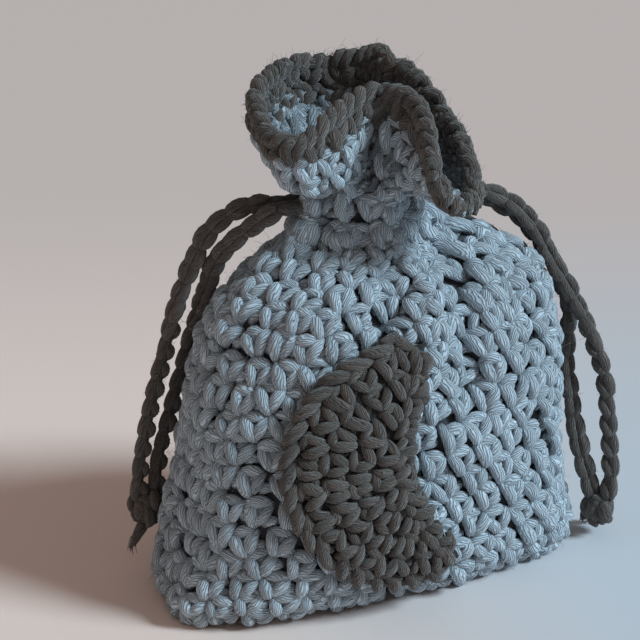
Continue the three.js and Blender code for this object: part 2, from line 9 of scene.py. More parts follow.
import bpy
import numpy as np
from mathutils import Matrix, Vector


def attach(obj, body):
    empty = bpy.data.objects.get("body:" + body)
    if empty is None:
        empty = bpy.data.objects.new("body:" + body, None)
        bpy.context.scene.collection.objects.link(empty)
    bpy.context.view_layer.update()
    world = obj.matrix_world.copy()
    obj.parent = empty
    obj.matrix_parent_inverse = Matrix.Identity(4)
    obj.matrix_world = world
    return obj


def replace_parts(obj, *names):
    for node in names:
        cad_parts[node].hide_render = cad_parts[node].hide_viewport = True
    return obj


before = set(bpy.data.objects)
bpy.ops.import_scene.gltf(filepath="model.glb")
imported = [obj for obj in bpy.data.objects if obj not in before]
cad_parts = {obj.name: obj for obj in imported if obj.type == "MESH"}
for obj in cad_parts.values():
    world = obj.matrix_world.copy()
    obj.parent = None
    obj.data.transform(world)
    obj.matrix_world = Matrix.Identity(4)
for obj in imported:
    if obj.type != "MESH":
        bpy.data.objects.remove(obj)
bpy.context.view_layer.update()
random = np.random.default_rng(7)


def hundredths(rows):
    return np.array(rows) / 100


# Pouch, neck, frill and moon: the sizes of the CAD solids
POUCH_HALF_WIDTH = 0.0465
POUCH_HALF_DEPTH = 0.026
POUCH_HEIGHT = 0.073
POUCH_WALL = 0.0045
NECK_HALF_WIDTH = 0.0126
NECK_HALF_DEPTH = 0.0096
NECK_HEIGHT = 0.0088
PLEAT_DEPTH = 0.0009
FRILL_REACH = 0.025
FRILL_HEIGHT = 0.017
FRILL_WALL = 0.0034
EDGING_HEIGHT = 0.005
MOON_RADIUS = 0.0262
MOON_CENTRE = (-0.0024, 0.0336)
MOON_THICKNESS = 0.0032
MOON_BORDER_RADIUS = 0.0015
MOON_HOLLOW = 0.0027
MOON_TIP_WIDTH = 0.0045
MOON_TOP, MOON_FOOT = math.radians(92), math.radians(284)
GAP = 0.0003
NECK_TOP = POUCH_HEIGHT + GAP + NECK_HEIGHT

# The pouch from the table up: height share, reach left, right, front and back, and squareness
POUCH_ROW_SHARES = np.array([
    [0.000, 0.86, 0.90, 0.39, 0.39, 3.0],
    [0.020, 0.95, 0.975, 0.60, 0.58, 3.0],
    [0.082, 0.97, 0.985, 0.85, 0.80, 2.8],
    [0.205, 0.88, 0.91, 1.00, 0.92, 2.6],
    [0.396, 0.80, 0.835, 1.00, 0.94, 2.5],
    [0.587, 0.75, 0.88, 0.93, 0.90, 2.4],
    [0.751, 0.655, 0.84, 0.79, 0.78, 2.3],
    [0.874, 0.515, 0.70, 0.58, 0.58, 2.2],
    [0.956, 0.29, 0.42, 0.335, 0.335, 2.1],
    [1.000, 0.08, 0.11, 0.10, 0.10, 2.0],
])
# Folds below the neck: x at top and foot, height of the foot, its ease, width and rise
FOLD_SHARES = [
    [-0.025, -0.13, 0.76, 0.090, 0.055, -0.090],
    [0.085, 0.075, 0.68, 0.095, 0.085, 0.060],
    [0.28, 0.27, 0.56, 0.130, 0.075, -0.140],
]
# Shoulders between the folds: x, z, reach along both, and rise
BULGE_SHARES = [
    [-0.33, 0.87, 0.19, 0.10, 0.10],
    [0.61, 0.80, 0.17, 0.11, 0.05],
]
# Free edge of the frill, in hundredths: x and y of its reach, and height of its height
RIM_SHARES = hundredths([
    [-83, 42, 105], [-93, 10, 101], [-95, -17, 93], [-88, -40, 88], [-75, -49, 91],
    [-59, -47, 101], [-42, -42, 112], [-21, -34, 122], [-3, -30, 125], [6, -46, 124],
    [6, -64, 112], [3, -80, 91], [2, -94, 65], [11, -103, 38], [28, -104, 24], [46, -94, 22],
    [59, -79, 38], [62, -62, 60], [59, -46, 77], [57, -27, 92], [59, -7, 107], [57, 11, 122],
    [53, 25, 128], [48, 33, 127], [48, 43, 132], [46, 56, 137], [34, 68, 132], [16, 82, 124],
    [-7, 89, 121], [-33, 84, 122], [-57, 69, 117], [-74, 55, 112],
])
RIM_START_SHARE = -0.325

# Yarn and stitches
YARN = 0.00108  # half the width of one leg of a stitch
STITCH_WIDTH = 0.0064
ROW_HEIGHT = 0.0056
STEPS, SIDES = 8, 10
SWELL = 0.0005  # unevenness of the cloth
DRIFT = 0.0008  # wander of its rows


def in_metres(tenths):
    """Places that are given in whole tenths of a millimetre."""
    return np.array(tenths) / 10000


# Drawstrings: the same points as the CAD routes
CORD_WIDTH = 0.0038
LINK = 0.0044
LEFT_LOOP = in_metres([
    (-170, 4, 798), (-145, 3, 798), (-122, -2, 798), (-96, -19, 798), (-72, -42, 798),
    (-38, -56, 798), (0, -60, 798), (38, -56, 798), (72, -39, 798), (89, 0, 798), (74, 36, 798),
    (38, 58, 798), (0, 63, 798), (-40, 62, 798), (-80, 56, 798), (-114, 48, 798),
    (-140, 45, 798), (-170, 44, 798),
])
RIGHT_LOOP = in_metres([
    (170, 0, 758), (145, -1, 758), (122, -6, 758), (96, -21, 758), (72, -42, 758),
    (38, -56, 758), (0, -60, 758), (-38, -56, 758), (-72, -39, 758), (-89, 0, 758),
    (-74, 36, 758), (-38, 58, 758), (0, 63, 758), (40, 61, 758), (80, 53, 758), (114, 45, 758),
    (140, 42, 758), (170, 42, 758),
])
LEFT_OUTER = in_metres([
    (-190, 44, 798), (-234, 60, 795), (-285, 80, 760), (-314, 100, 708), (-329, 120, 650),
    (-345, 132, 594), (-358, 142, 536), (-371, 150, 484), (-384, 156, 426), (-399, 160, 370),
    (-412, 162, 314), (-425, 163, 252), (-433, 163, 190),
])
LEFT_INNER = in_metres([
    (-190, 4, 798), (-228, 26, 768), (-266, 58, 726), (-282, 96, 676), (-280, 136, 616),
    (-280, 170, 554), (-300, 184, 492), (-316, 188, 430), (-335, 184, 378), (-356, 178, 328),
    (-374, 173, 279), (-385, 172, 230), (-390, 170, 190),
])
RIGHT_OUTER = in_metres([
    (190, 0, 758), (230, -2, 773), (275, -6, 766), (322, -16, 740), (370, -22, 688),
    (407, -30, 618), (436, -48, 560), (463, -65, 500), (488, -85, 430), (502, -100, 370),
    (508, -110, 300), (512, -116, 230), (514, -124, 165), (508, -132, 110),
])
RIGHT_INNER = in_metres([
    (190, 42, 758), (246, 38, 756), (293, 30, 746), (340, 20, 718), (387, 14, 670),
    (425, 6, 610), (451, -8, 546), (461, -24, 486), (454, -30, 424), (448, -38, 380),
    (448, -50, 340), (453, -60, 298), (455, -70, 254), (460, -82, 208), (470, -94, 160),
    (482, -104, 110),
])
LEFT_TAILS = [
    in_metres([(-432, 155, 102), (-441, 153, 94), (-449, 151, 85), (-455, 150, 74)]),
    in_metres([(-424, 178, 101), (-428, 181, 90), (-432, 183, 79), (-435, 184, 68)]),
]
RIGHT_TAILS = [
    in_metres([(510, -79, 48), (513, -74, 36), (515, -69, 24), (516, -63, 14)]),
    in_metres([(490, -77, 46), (490, -71, 34), (492, -65, 23), (495, -58, 14)]),
]

# Camera
CAMERA_TARGET = Vector((0, 0, 0.05))
CAMERA_AZIMUTH, CAMERA_ELEVATION = math.radians(-27), math.radians(22)
CAMERA_DISTANCE = 0.48
CAMERA_LENS = 135
CAMERA_SHIFT = (-45 / 640, 18 / 640)
CAMERA_CLIP = (0.01, 10)


def link(thing):
    bpy.context.scene.collection.objects.link(thing)


def make_camera():
    """The photograph's view: from the left of the front, a little above."""
    data = bpy.data.cameras.new("camera")
    data.lens = CAMERA_LENS
    data.shift_x, data.shift_y = CAMERA_SHIFT
    data.clip_start, data.clip_end = CAMERA_CLIP
    camera = bpy.data.objects.new("camera", data)
    back = Vector((
        math.sin(CAMERA_AZIMUTH) * math.cos(CAMERA_ELEVATION),
        -math.cos(CAMERA_AZIMUTH) * math.cos(CAMERA_ELEVATION),
        math.sin(CAMERA_ELEVATION),
    ))
    camera.location = CAMERA_TARGET + back * CAMERA_DISTANCE
    camera.rotation_mode = "QUATERNION"
    camera.rotation_quaternion = (-back).to_track_quat("-Z", "Y")
    link(camera)
    bpy.context.scene.camera = camera


# Curves and small sums
CURVE_STEPS = 40


def spread(width, size):
    return random.normal(0, width, size)


def shares(count):
    return np.linspace(0, 1, count)


def lerp(a, b, t):
    return a + (b - a) * t


def smooth(start, end, value):
    t = np.clip((value - start) / (end - start), 0, 1)
    return t * t * (3 - 2 * t)


def bell(distance, width):
    return np.exp(-((distance / width) ** 2))


def unit(vectors):
    return vectors / np.maximum(np.linalg.norm(vectors, axis=-1, keepdims=True), 1e-12)


def along_rows(rows, t, closed=False):
    """Each column of a table at t from 0, its first row, to 1, its last, on a smooth curve."""
    rows = np.asarray(rows, float)
    count = len(rows)
    spans = count if closed else count - 1
    place = np.clip(t, 0, 1) * spans
    i = np.minimum(place.astype(int), spans - 1)
    f = (place - i)[..., None]

    def row(k):
        return rows[k % count] if closed else rows[np.clip(k, 0, count - 1)]

    before, start, end, after = row(i - 1), row(i), row(i + 1), row(i + 2)
    bend = 2 * before - 5 * start + 4 * end - after
    twist = 3 * start - before - 3 * end + after
    return (2 * start + (end - before) * f + bend * f ** 2 + twist * f ** 3) / 2


def finely(rows, count=STEPS):
    return along_rows(rows, shares(count))


def distances(points):
    """How far along a curve each of its points is."""
    return np.concatenate([[0], np.cumsum(np.linalg.norm(np.diff(points, axis=0), axis=1))])


def evenly(points, count, closed=False):
    """A smooth curve through points, as count points at even distances."""
    fine = along_rows(points, shares(CURVE_STEPS * len(points) + 1), closed)
    far = distances(fine)
    places = np.linspace(0, far[-1], count)
    return np.stack([np.interp(places, far, fine[:, k]) for k in range(3)], axis=1)


def length_of(points):
    return float(np.linalg.norm(np.diff(points, axis=0), axis=1).sum())


# Unevenness of three kinds: of the skin, of places round a row and of places up it
KINDS, WAVE_COUNT = 3, 7
WAVE_LENGTHS = (0.013, 0.030)
WAVES = unit(spread(1, (KINDS, WAVE_COUNT, 3))) * 2 * math.pi
WAVES = WAVES / random.uniform(*WAVE_LENGTHS, (KINDS, WAVE_COUNT, 1))
WAVE_STARTS = random.uniform(0, 2 * math.pi, (KINDS, WAVE_COUNT))
WAVE_SPREAD = 2.6


def uneven(points, kind):
    """Slow unevenness of hand-made cloth at some points, about -1 to 1."""
    waves = np.sin(points @ WAVES[kind].T + WAVE_STARTS[kind])
    return waves.sum(axis=-1) / WAVE_SPREAD


# The cloth's outer skin, as in the CAD solids. A turn of 0 is the front, and turns go round by the
# right.
def pleat(angle, height_share):
    wave = np.cos(9 * angle) + 0.4 * np.cos(5 * angle + 1)
    return PLEAT_DEPTH * wave * smooth(0.82, 1, height_share)


def front_rise(x, z):
    rise = 0
    for top, foot, foot_height, ease, width, height in FOLD_SHARES:
        low = foot_height * POUCH_HEIGHT
        down = np.clip((POUCH_HEIGHT - z) / (POUCH_HEIGHT - low), 0, 1)
        middle = lerp(top, foot, down) * POUCH_HALF_WIDTH
        fade = smooth(low - ease * POUCH_HEIGHT, low + ease * POUCH_HEIGHT, z)
        rise = rise + height * POUCH_HALF_DEPTH * fade * bell(x - middle, width * POUCH_HALF_WIDTH)
    for x_share, z_share, width, height, lift in BULGE_SHARES:
        across = bell(x - x_share * POUCH_HALF_WIDTH, width * POUCH_HALF_WIDTH)
        beside = bell(z - z_share * POUCH_HEIGHT, height * POUCH_HEIGHT)
        rise = rise + lift * POUCH_HALF_DEPTH * across * beside
    return rise


def signed_power(value, power):
    return np.sign(value) * np.abs(value) ** power


def pouch_skin(turn, level):
    turn, level = np.broadcast_arrays(np.asarray(turn, float), np.asarray(level, float))
    angle = 2 * math.pi * turn
    columns = np.moveaxis(along_rows(POUCH_ROW_SHARES, level), -1, 0)
    height, left, right, front, back, square = columns
    across, along = np.sin(angle), np.cos(angle)
    half_width = lerp(NECK_HALF_WIDTH, POUCH_HALF_WIDTH, np.where(across < 0, left, right))
    half_depth = lerp(NECK_HALF_DEPTH, POUCH_HALF_DEPTH, np.where(along > 0, front, back))
    fold = pleat(angle, height)
    x = half_width * signed_power(across, 2 / square) + fold * across
    y = -half_depth * signed_power(along, 2 / square) - fold * along
    z = height * POUCH_HEIGHT
    y = y - smooth(0, 0.5, along) * front_rise(x, z)
    return np.stack([x, y, z], axis=-1)


def base_skin(turn, level):
    """The flat underside, from its middle at level 0 to its edge at level 1."""
    edge = pouch_skin(turn, np.zeros_like(level + turn))
    edge[..., :2] *= lerp(0.12, 1, level + np.zeros_like(turn))[..., None]
    return edge


def neck_skin(turn, level):
    turn, level = np.broadcast_arrays(np.asarray(turn, float), np.asarray(level, float))
    angle = 2 * math.pi * turn
    flare = lerp(0.09, 0.02, smooth(0, 0.6, level))
    out = pleat(angle, 1)
    x = (lerp(NECK_HALF_WIDTH, POUCH_HALF_WIDTH, flare) + out) * np.sin(angle)
    y = -(lerp(NECK_HALF_DEPTH, POUCH_HALF_DEPTH, flare) + out) * np.cos(angle)
    return np.stack([x, y, POUCH_HEIGHT + GAP + level * NECK_HEIGHT], axis=-1)


RIM_PLACES = RIM_SHARES * (FRILL_REACH, FRILL_REACH, FRILL_HEIGHT) + (0, 0, NECK_TOP + GAP)
RIM = evenly(RIM_PLACES, 361, True)
RIM_TURNS = shares(len(RIM))

# Folds of the frill between its root and its edge: x and y shares of the edge beside it, width as a
# share of the edge, and how far it stands out and droops as shares of its reach and height
FRILL_FOLD_SHARES = [
    [-0.03, -0.34, 0.03, -0.064, 0], [-0.62, -0.48, 0.06, 0.1, 0.06], [0.3, -1, 0.06, 0.12, 0.12],
]


def frill_folds(turn):
    """How far the folds push out and droop beside a place on the edge."""
    push, droop = 0, 0
    for x_share, y_share, width, out, down in FRILL_FOLD_SHARES:
        far = np.hypot(RIM[:, 0] - x_share * FRILL_REACH, RIM[:, 1] - y_share * FRILL_REACH)
        away = np.abs((turn - RIM_TURNS[np.argmin(far)] + 0.5) % 1 - 0.5)
        push = push + out * FRILL_REACH * bell(away, width)
        droop = droop + down * FRILL_HEIGHT * bell(away, width)
    return push, droop


def frill_skin(turn, level):
    turn, level = np.broadcast_arrays(np.asarray(turn, float), np.asarray(level, float))
    rim = np.stack([np.interp(turn % 1, RIM_TURNS, RIM[:, k]) for k in range(3)], axis=-1)
    root = neck_skin(RIM_START_SHARE + turn, 1.0)
    root[..., 2] += GAP
    bend = level * math.pi / 2
    out = (np.maximum(np.sin(bend), 0) ** 1.1)[..., None]
    up = 0.35 * level + 0.65 * (1 - np.cos(bend))
    point = lerp(root, rim, out)
    point[..., 2] = lerp(root[..., 2], rim[..., 2], up)
    push, droop = frill_folds(turn)
    fold = np.sin(math.pi * np.clip(level, 0, 1)) * smooth(0.1, 0.5, level)
    point[..., :2] += unit(rim[..., :2]) * (push * fold)[..., None]
    point[..., 2] -= droop * fold
    return point


def whole_skin(turn, level):
    """Pouch from level 0 to 1, neck from 1 to 2 and frill from 2 to 3, as one cloth."""
    turn, level = np.broadcast_arrays(np.asarray(turn, float), np.asarray(level, float))
    pouch = pouch_skin(turn, np.clip(level, 0, 1))
    neck = neck_skin(turn, np.clip(level - 1, 0, 1))
    frill = frill_skin(turn - RIM_START_SHARE, np.clip(level - 2, 0, 1))
    where = level[..., None]
    return np.where(where < 1, pouch, np.where(where < 2, neck, frill))


FRILL_SLANT = math.hypot(FRILL_REACH - NECK_HALF_WIDTH, FRILL_HEIGHT)
EDGING_SHARE = 1 - EDGING_HEIGHT / FRILL_SLANT

POUCH_TABLE = along_rows(POUCH_ROW_SHARES, shares(400))


def front_depth(x, z):
    """How far the front stands out at a place on it."""
    left, right, front, square = (
        np.interp(z / POUCH_HEIGHT, POUCH_TABLE[:, 0], POUCH_TABLE[:, k]) for k in (1, 2, 3, 5))
    half_width = lerp(NECK_HALF_WIDTH, POUCH_HALF_WIDTH, np.where(x < 0, left, right))
    half_depth = lerp(NECK_HALF_DEPTH, POUCH_HALF_DEPTH, front)
    out = np.clip(np.abs(x / half_width), 0, 0.98) ** square
    return half_depth * (1 - out) ** (1 / square) + front_rise(x, z)


def on_front(x, z):
    return np.stack([x, -front_depth(x, z), z], axis=-1)


LEVEL_STEPS, TURN_STEPS = 160, 144
PROBE = 0.002  # share of a turn or a level between places that a normal is taken from


class Tube:
    """A tube of cloth that can be laid out flat, from its skin(turn, level)."""

    def __init__(self, skin, inward=0.0, top=1.0):
        self.skin = skin
        self.inward = inward
        self.top = top
        self.levels = np.linspace(0, top, round(LEVEL_STEPS * top) + 1)
        self.turns = shares(TURN_STEPS + 1)
        grid = self.place(self.turns[None, :], self.levels[:, None])[0]
        rise = np.linalg.norm(np.diff(grid, axis=0), axis=2)
        self.up = np.concatenate([[0], np.cumsum(rise.mean(axis=1))])
        self.room = rise / rise.mean(axis=1, keepdims=True)
        step = np.linalg.norm(np.diff(grid, axis=1), axis=2)
        self.along = np.concatenate([np.zeros((len(grid), 1)), np.cumsum(step, axis=1)], axis=1)

    def place(self, turn, level):
        """Points on the skin and their normals. With inward, on its inner side, that far in."""
        low, high = np.clip(level - PROBE, 0, self.top), np.clip(level + PROBE, 0, self.top)
        point = self.skin(turn, level)
        round_it = self.skin(turn + PROBE, level) - self.skin(turn - PROBE, level)
        up = self.skin(turn, high) - self.skin(turn, low)
        normal = unit(np.cross(round_it, up))
        point = point + normal * (SWELL * uneven(point, 0))[..., None]
        if self.inward:
            return point - normal * self.inward, -normal
        return point, normal

    def up_to(self, level):
        return float(np.interp(level, self.levels, self.up))

    def row(self, up):
        return int(np.searchsorted(self.up, up).clip(0, len(self.up) - 2))

    def girth(self, up):
        return float(np.interp(up, self.up, self.along[:, -1]))

    def at(self, up, along, height):
        """Places and normals for distances round the tube and up it, near the row at up."""
        whole = self.along[self.row(up), -1]
        turn = np.interp(along % whole, self.along[self.row(up)], self.turns)
        return self.place(turn, np.interp(height, self.up, self.levels))

    def stretch(self, up, along):
        """How much further apart rows lie here than on the whole round."""
        whole = self.along[self.row(up), -1]
        turn = np.interp(along % whole, self.along[self.row(up)], self.turns)
        return np.interp(turn, self.turns, self.room[self.row(up)])


# Meshes
LOWEST = 0.0002  # nothing reaches lower, so the yarn stays clear of the table


class Yarn:
    """Collects strokes and skins, and makes one mesh of them."""

    def __init__(self):
        self.points, self.strand, self.quads, self.caps = [], [], [], []
        self.count = 0

    def add(self, points, strand, quads, caps=()):
        self.points.append(points.reshape(-1, 3))
        self.strand.append(strand.reshape(-1, 3))
        self.quads.append(quads.reshape(-1, 4) + self.count)
        for cap in caps:
            self.caps.append(cap + self.count)
        self.count += len(self.points[-1])

    def strokes(self, paths, normals, widths, depths=None, sides=SIDES, tones=None):
        """Closed tapered tubes along paths (n, k, 3), wide across and deep along the normals."""
        n, k = paths.shape[:2]
        depths = widths if depths is None else depths
        tangent = unit(np.gradient(paths, axis=1))
        across = unit(np.cross(tangent, normals))
        up = np.cross(across, tangent)
        turn = np.linspace(0, 2 * math.pi, sides, endpoint=False) - math.pi / 2
        shape = (n, k, sides)
        wide = np.broadcast_to(widths, (n, k))[..., None, None]
        deep = np.broadcast_to(depths, (n, k))[..., None, None]
        ring = (across[:, :, None] * np.cos(turn)[:, None] * wide
                + up[:, :, None] * np.sin(turn)[:, None] * deep)
        points = paths[:, :, None] + ring
        far = np.linalg.norm(np.diff(paths, axis=1), axis=2).cumsum(axis=1)
        far = np.concatenate([np.zeros((n, 1)), far], axis=1)
        tones = random.random(n) if tones is None else tones
        strand = np.empty(shape + (3,))
        strand[..., 0] = np.arange(sides) / sides
        strand[..., 1] = (far / YARN)[..., None]
        strand[..., 2] = tones[:, None, None]
        index = np.arange(n * k * sides).reshape(shape)
        beside = np.roll(index, -1, axis=2)
        quads = np.stack([index[:, :-1], beside[:, :-1], beside[:, 1:], index[:, 1:]], axis=-1)
        self.add(points, strand, quads, (index[:, 0, ::-1], index[:, -1]))

    def skin(self, grid, joined=False):
        """A skin over a grid of points (rows, round, 3). It is closed round, and either capped at
        its first and last row or joined from the last to the first."""
        rows, count = grid.shape[:2]
        index = np.arange(rows * count).reshape(rows, count)
        above = np.roll(index, -1, axis=0) if joined else index[1:]
        below = index if joined else index[:-1]
        side = np.roll(below, -1, axis=1), np.roll(above, -1, axis=1)
        quads = np.stack([below, side[0], side[1], above], axis=-1)
        strand = np.zeros((rows, count, 3))
        strand[..., 2] = 0.5
        caps = () if joined else (index[:1, ::-1], index[-1:])
        self.add(grid, strand, quads, caps)
        return self

    def make(self, name, material, body="pouch", lowest=LOWEST):
        """The piece. Its material is named after its slot, with one word more."""
        points = np.concatenate(self.points)
        points[:, 2] = np.maximum(points[:, 2], lowest)
        quads = np.concatenate(self.quads)
        sizes = [np.full(len(quads), 4)]
        loops = [quads.ravel()]
        for cap in self.caps:
            sizes.append(np.full(len(cap), cap.shape[1]))
            loops.append(cap.ravel())
        sizes, loops = np.concatenate(sizes), np.concatenate(loops)
        mesh = bpy.data.meshes.new(name)
        mesh.vertices.add(len(points))
        mesh.vertices.foreach_set("co", points.astype(np.float32).ravel())
        mesh.loops.add(len(loops))
        mesh.loops.foreach_set("vertex_index", loops.astype(np.int32))
        mesh.polygons.add(len(sizes))
        starts = np.concatenate([[0], np.cumsum(sizes)[:-1]])
        mesh.polygons.foreach_set("loop_start", starts.astype(np.int32))
        mesh.update(calc_edges=True)
        mesh.validate()
        mesh.shade_smooth()
        strand = mesh.attributes.new("strand", "FLOAT_VECTOR", "POINT")
        strand.data.foreach_set("vector", np.concatenate(self.strand).astype(np.float32).ravel())
        mesh.materials.append(material)
        thing = bpy.data.objects.new(name, mesh)
        link(thing)
        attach(thing, body)
        return thing


# Stitches
# A leg of a stitch, in hundredths: across of a stitch width, up of a row height, lift and half
# width of half a yarn. Lift is measured from the skin to the middle of the leg.
LEFT_LEG = hundredths([
    [3, -56, -250, 62], [-5, -33, -105, 104], [-15, -5, -62, 122], [-26, 22, -85, 116],
    [-36, 46, -230, 70],
])
RIGHT_LEG = hundredths([
    [7, -48, -250, 60], [15, -24, -125, 100], [25, 1, -88, 117], [34, 24, -110, 110],
    [43, 44, -240, 68],
])
FRONT_LOOP = hundredths([
    [-42, 26, -270, 62], [-22, 42, -150, 102], [0, 50, -118, 116], [22, 46, -145, 104],
    [42, 30, -260, 62],
])
BACK_LOOP = hundredths([
    [-14, -16, -290, 80], [-2, 6, -215, 110], [8, 26, -220, 105], [14, 44, -300, 75],
])
SIDE_LOOP = hundredths([
    [30, -40, -300, 75], [42, -20, -220, 110], [56, -10, -210, 112], [70, -24, -300, 75],
])
STITCH = [SIDE_LOOP, BACK_LOOP, FRONT_LOOP, RIGHT_LEG, LEFT_LEG]
# How far stitches stray: shares of a stitch, angles, shares of size and thickness, and half yarns
STRAY, TILT, LEAN, SIZE_SPREAD, FAT_SPREAD, LIFT_SPREAD = 0.05, 0.16, 0.12, 0.08, 0.07, 0.18
FLAT = 0.88  # depth of a leg as a share of its width


def stitch_row(yarn, tube, up, row_height, pitch, start, thick=1.0, ragged=1.0, tone=0.5):
    """One round of stitches on a tube, at a height up it."""
    girth = tube.girth(up)
    count = max(6, round(girth / pitch))
    width = girth / count
    middle = (np.arange(count) + start + ragged * spread(STRAY, count)) * width
    centre = tube.at(up, middle, np.full(count, up))[0]
    middle = middle + DRIFT * uneven(centre, 1)
    rise = up + DRIFT * uneven(centre, 2) + ragged * spread(STRAY, count) * row_height
    tilt = ragged * spread(TILT, count)
    room = np.clip(tube.stretch(up, middle), 0.7, 1.5) ** 0.45
    for leg in STITCH:
        fine = finely(leg)
        lean = (tilt + ragged * spread(LEAN, count))[:, None]
        size = (1 + ragged * spread(SIZE_SPREAD, count))[:, None]
        fat = (thick * room * (1 + ragged * spread(FAT_SPREAD, count)))[:, None]
        x, y = fine[:, 0] * width * size, fine[:, 1] * row_height * size
        along = middle[:, None] + x * np.cos(lean) + y * np.sin(lean)
        height = rise[:, None] - x * np.sin(lean) + y * np.cos(lean)
        point, normal = tube.at(up, along, height)
        stray = ragged * spread(LIFT_SPREAD, count)[:, None]
        lift = (fine[:, 2] * thick + stray) * YARN
        half = fine[:, 3] * YARN * fat
        tones = tone + random.uniform(-0.5, 0.5, count)
        yarn.strokes(point + normal * lift[..., None], normal, half, half * FLAT, tones=tones)


def stitched_tube(yarn, tube, rows, pitch, low=0.0, high=None, first=0, **options):
    """Rounds of stitches up a tube, each half a stitch further round than the last."""
    high = tube.up[-1] if high is None else high
    row_height = (high - low) / rows
    for row in range(rows):
        start = 0.5 * ((row + first) % 2) + 0.07 * (row + first)
        stitch_row(yarn, tube, low + (row + 0.5) * row_height, row_height, pitch, start, **options)


FIBRE_LONG = 0.0015
FIBRE_HALF = np.linspace(0.000038, 0.00002, 5)


def fuzz(yarn, points, normals, long=FIBRE_LONG):
    """Loose fibres that stand off the yarn."""
    count = len(points)
    way = unit(spread(1, (count, 3)) + normals * 0.5)
    bend = random.uniform(-0.8, 0.8, (count, 3))
    far = (long * random.uniform(0.35, 1.0, count))[:, None, None]
    share = shares(5)[None, :, None]
    paths = points[:, None] + far * (way[:, None] * share + bend[:, None] * share ** 2)
    yarn.strokes(paths, np.broadcast_to(normals[:, None], paths.shape), FIBRE_HALF, sides=3)


def inset_grid(tube, inset, low, high, rows, count):
    """Points inside a tube's skin, for the cloth under its stitches."""
    turns = np.linspace(0, 1, count, endpoint=False)
    point, normal = tube.place(turns[None, :], np.linspace(low, high, rows)[:, None])
    return point - normal * inset


# Chains of a crocheted cord: two legs of each link on its face and a bump on its back, in
# hundredths of the cord's width, of a link, of the cord's width and of a leg's half width
CHAIN_LEG = hundredths([
    [0, -34, -10, 60], [18, -2, 8, 98], [27, 38, 14, 112], [22, 80, 16, 102], [2, 116, 2, 58],
])
CHAIN_BUMP = hundredths([
    [-24, 10, -8, 60], [-12, 36, -22, 100], [2, 56, -25, 106], [14, 76, -20, 98],
    [24, 100, -8, 60],
])


def travelling_frame(path, start, twist):
    """Normals and sideways directions along a path, carried along it and turned by twist in all."""
    tangent = unit(np.gradient(path, axis=0))
    normals = [unit(np.array(start, float) - tangent[0] * np.dot(start, tangent[0]))]
    for k in range(1, len(path)):
        carried = normals[-1] - tangent[k] * np.dot(normals[-1], tangent[k])
        normals.append(unit(carried))
    normals = np.array(normals)
    side = np.cross(tangent, normals)
    turn = shares(len(path))
    turn = (twist * turn + 0.5 * np.sin(9 * turn + twist))[:, None]
    cos, sin = np.cos(turn), np.sin(turn)
    return normals * cos + side * sin, side * cos - normals * sin


CHAIN_STEP = 0.001
CHAIN_SPREAD = 0.06
HAIR_LONG = 0.0011


def chain(yarn, points, width, link, face, twist=0.0, closed=False, leg_share=0.50, hairs=3.0):
    """A crocheted chain along a curve, its face turned to the direction face where it starts. Hairs
    are loose fibres a millimetre."""
    long = length_of(evenly(points, 200, closed))
    path = evenly(points, 5 * max(2, round(long / CHAIN_STEP)), closed)
    normals, sides = travelling_frame(path, face, twist)
    far = distances(path)
    count = max(2, round(far[-1] / link))
    pace = far[-1] / count

    def lay(table, mirror):
        fine = finely(table)
        size = 1 + spread(CHAIN_SPREAD, count)[:, None]
        shift = spread(CHAIN_SPREAD, count)[:, None]
        place = (np.arange(count)[:, None] + shift + fine[:, 1]) * pace
        if closed:
            place = place % far[-1]
        place = np.clip(place, 0, far[-1])

        def read(values):
            return np.stack([np.interp(place, far, values[:, k]) for k in range(3)], axis=-1)

        across = mirror * fine[:, 0] * width * size
        lift = fine[:, 2] * width * size
        centre, normal, side = read(path), unit(read(normals)), unit(read(sides))
        stroke = centre + side * across[..., None] + normal * lift[..., None]
        outward = unit(stroke - centre + normal * 1e-4)
        half = fine[:, 3] * width * leg_share / 2 * size
        yarn.strokes(stroke, outward, half * 1.06, half * 0.98)

    lay(CHAIN_BUMP, 1)
    lay(CHAIN_LEG, -1)
    lay(CHAIN_LEG, 1)
    core = path[::4]
    middle = unit(np.gradient(core, axis=0))[None]
    yarn.strokes(core[None], np.cross(middle, np.cross((0.1, 0.2, 0.97), middle)), width * 0.24)
    spots = random.integers(0, len(path), round(long * 1000 * hairs))
    turn = random.uniform(0, 2 * math.pi, len(spots))[:, None]
    out = normals[spots] * np.cos(turn) + sides[spots] * np.sin(turn)
    fuzz(yarn, path[spots] + out * width * 0.36, out, long=HAIR_LONG)
    return path


# Materials: each yarn's light and painted groove shade, then the deep cloth's painted shade
# Each yarn's dark is painted shade in the grooves between its strands
PALE, PALE_GROOVE_SHADE = (0.56, 0.65, 0.72), (0.15, 0.18, 0.21)
TAUPE, TAUPE_GROOVE_SHADE = (0.130, 0.105, 0.090), (0.008, 0.006, 0.005)
# The cloth between the stitches: painted shade, far darker than the yarn itself
PALE_SHADE, PALE_SHADE_DARK = (0.07, 0.075, 0.085), (0.03, 0.032, 0.038)
TAUPE_SHADE, TAUPE_SHADE_DARK = (0.030, 0.026, 0.023), (0.012, 0.010, 0.009)
LINEN = (0.60, 0.53, 0.42)
# Plies: strands round a leg, their twist along it and how far they wander
STRANDS, TWIST, WANDER = 15.0, 0.8, 3.2
PLY_POWER, FIBRE_GAIN, FIBRE_FLOOR = 0.7, 1.7, 0.20
# Legs differ in tone, at random and by painted shade, and the cloth is a little cloudy
TONE_GAIN, TONE_FLOOR, CLOUD_GAIN = 0.22, 0.83, 0.14
TONE_SEED = 37.0  # sets the noise of each tone apart
WEAVE_THREADS = 5200.0  # radians of weave a metre


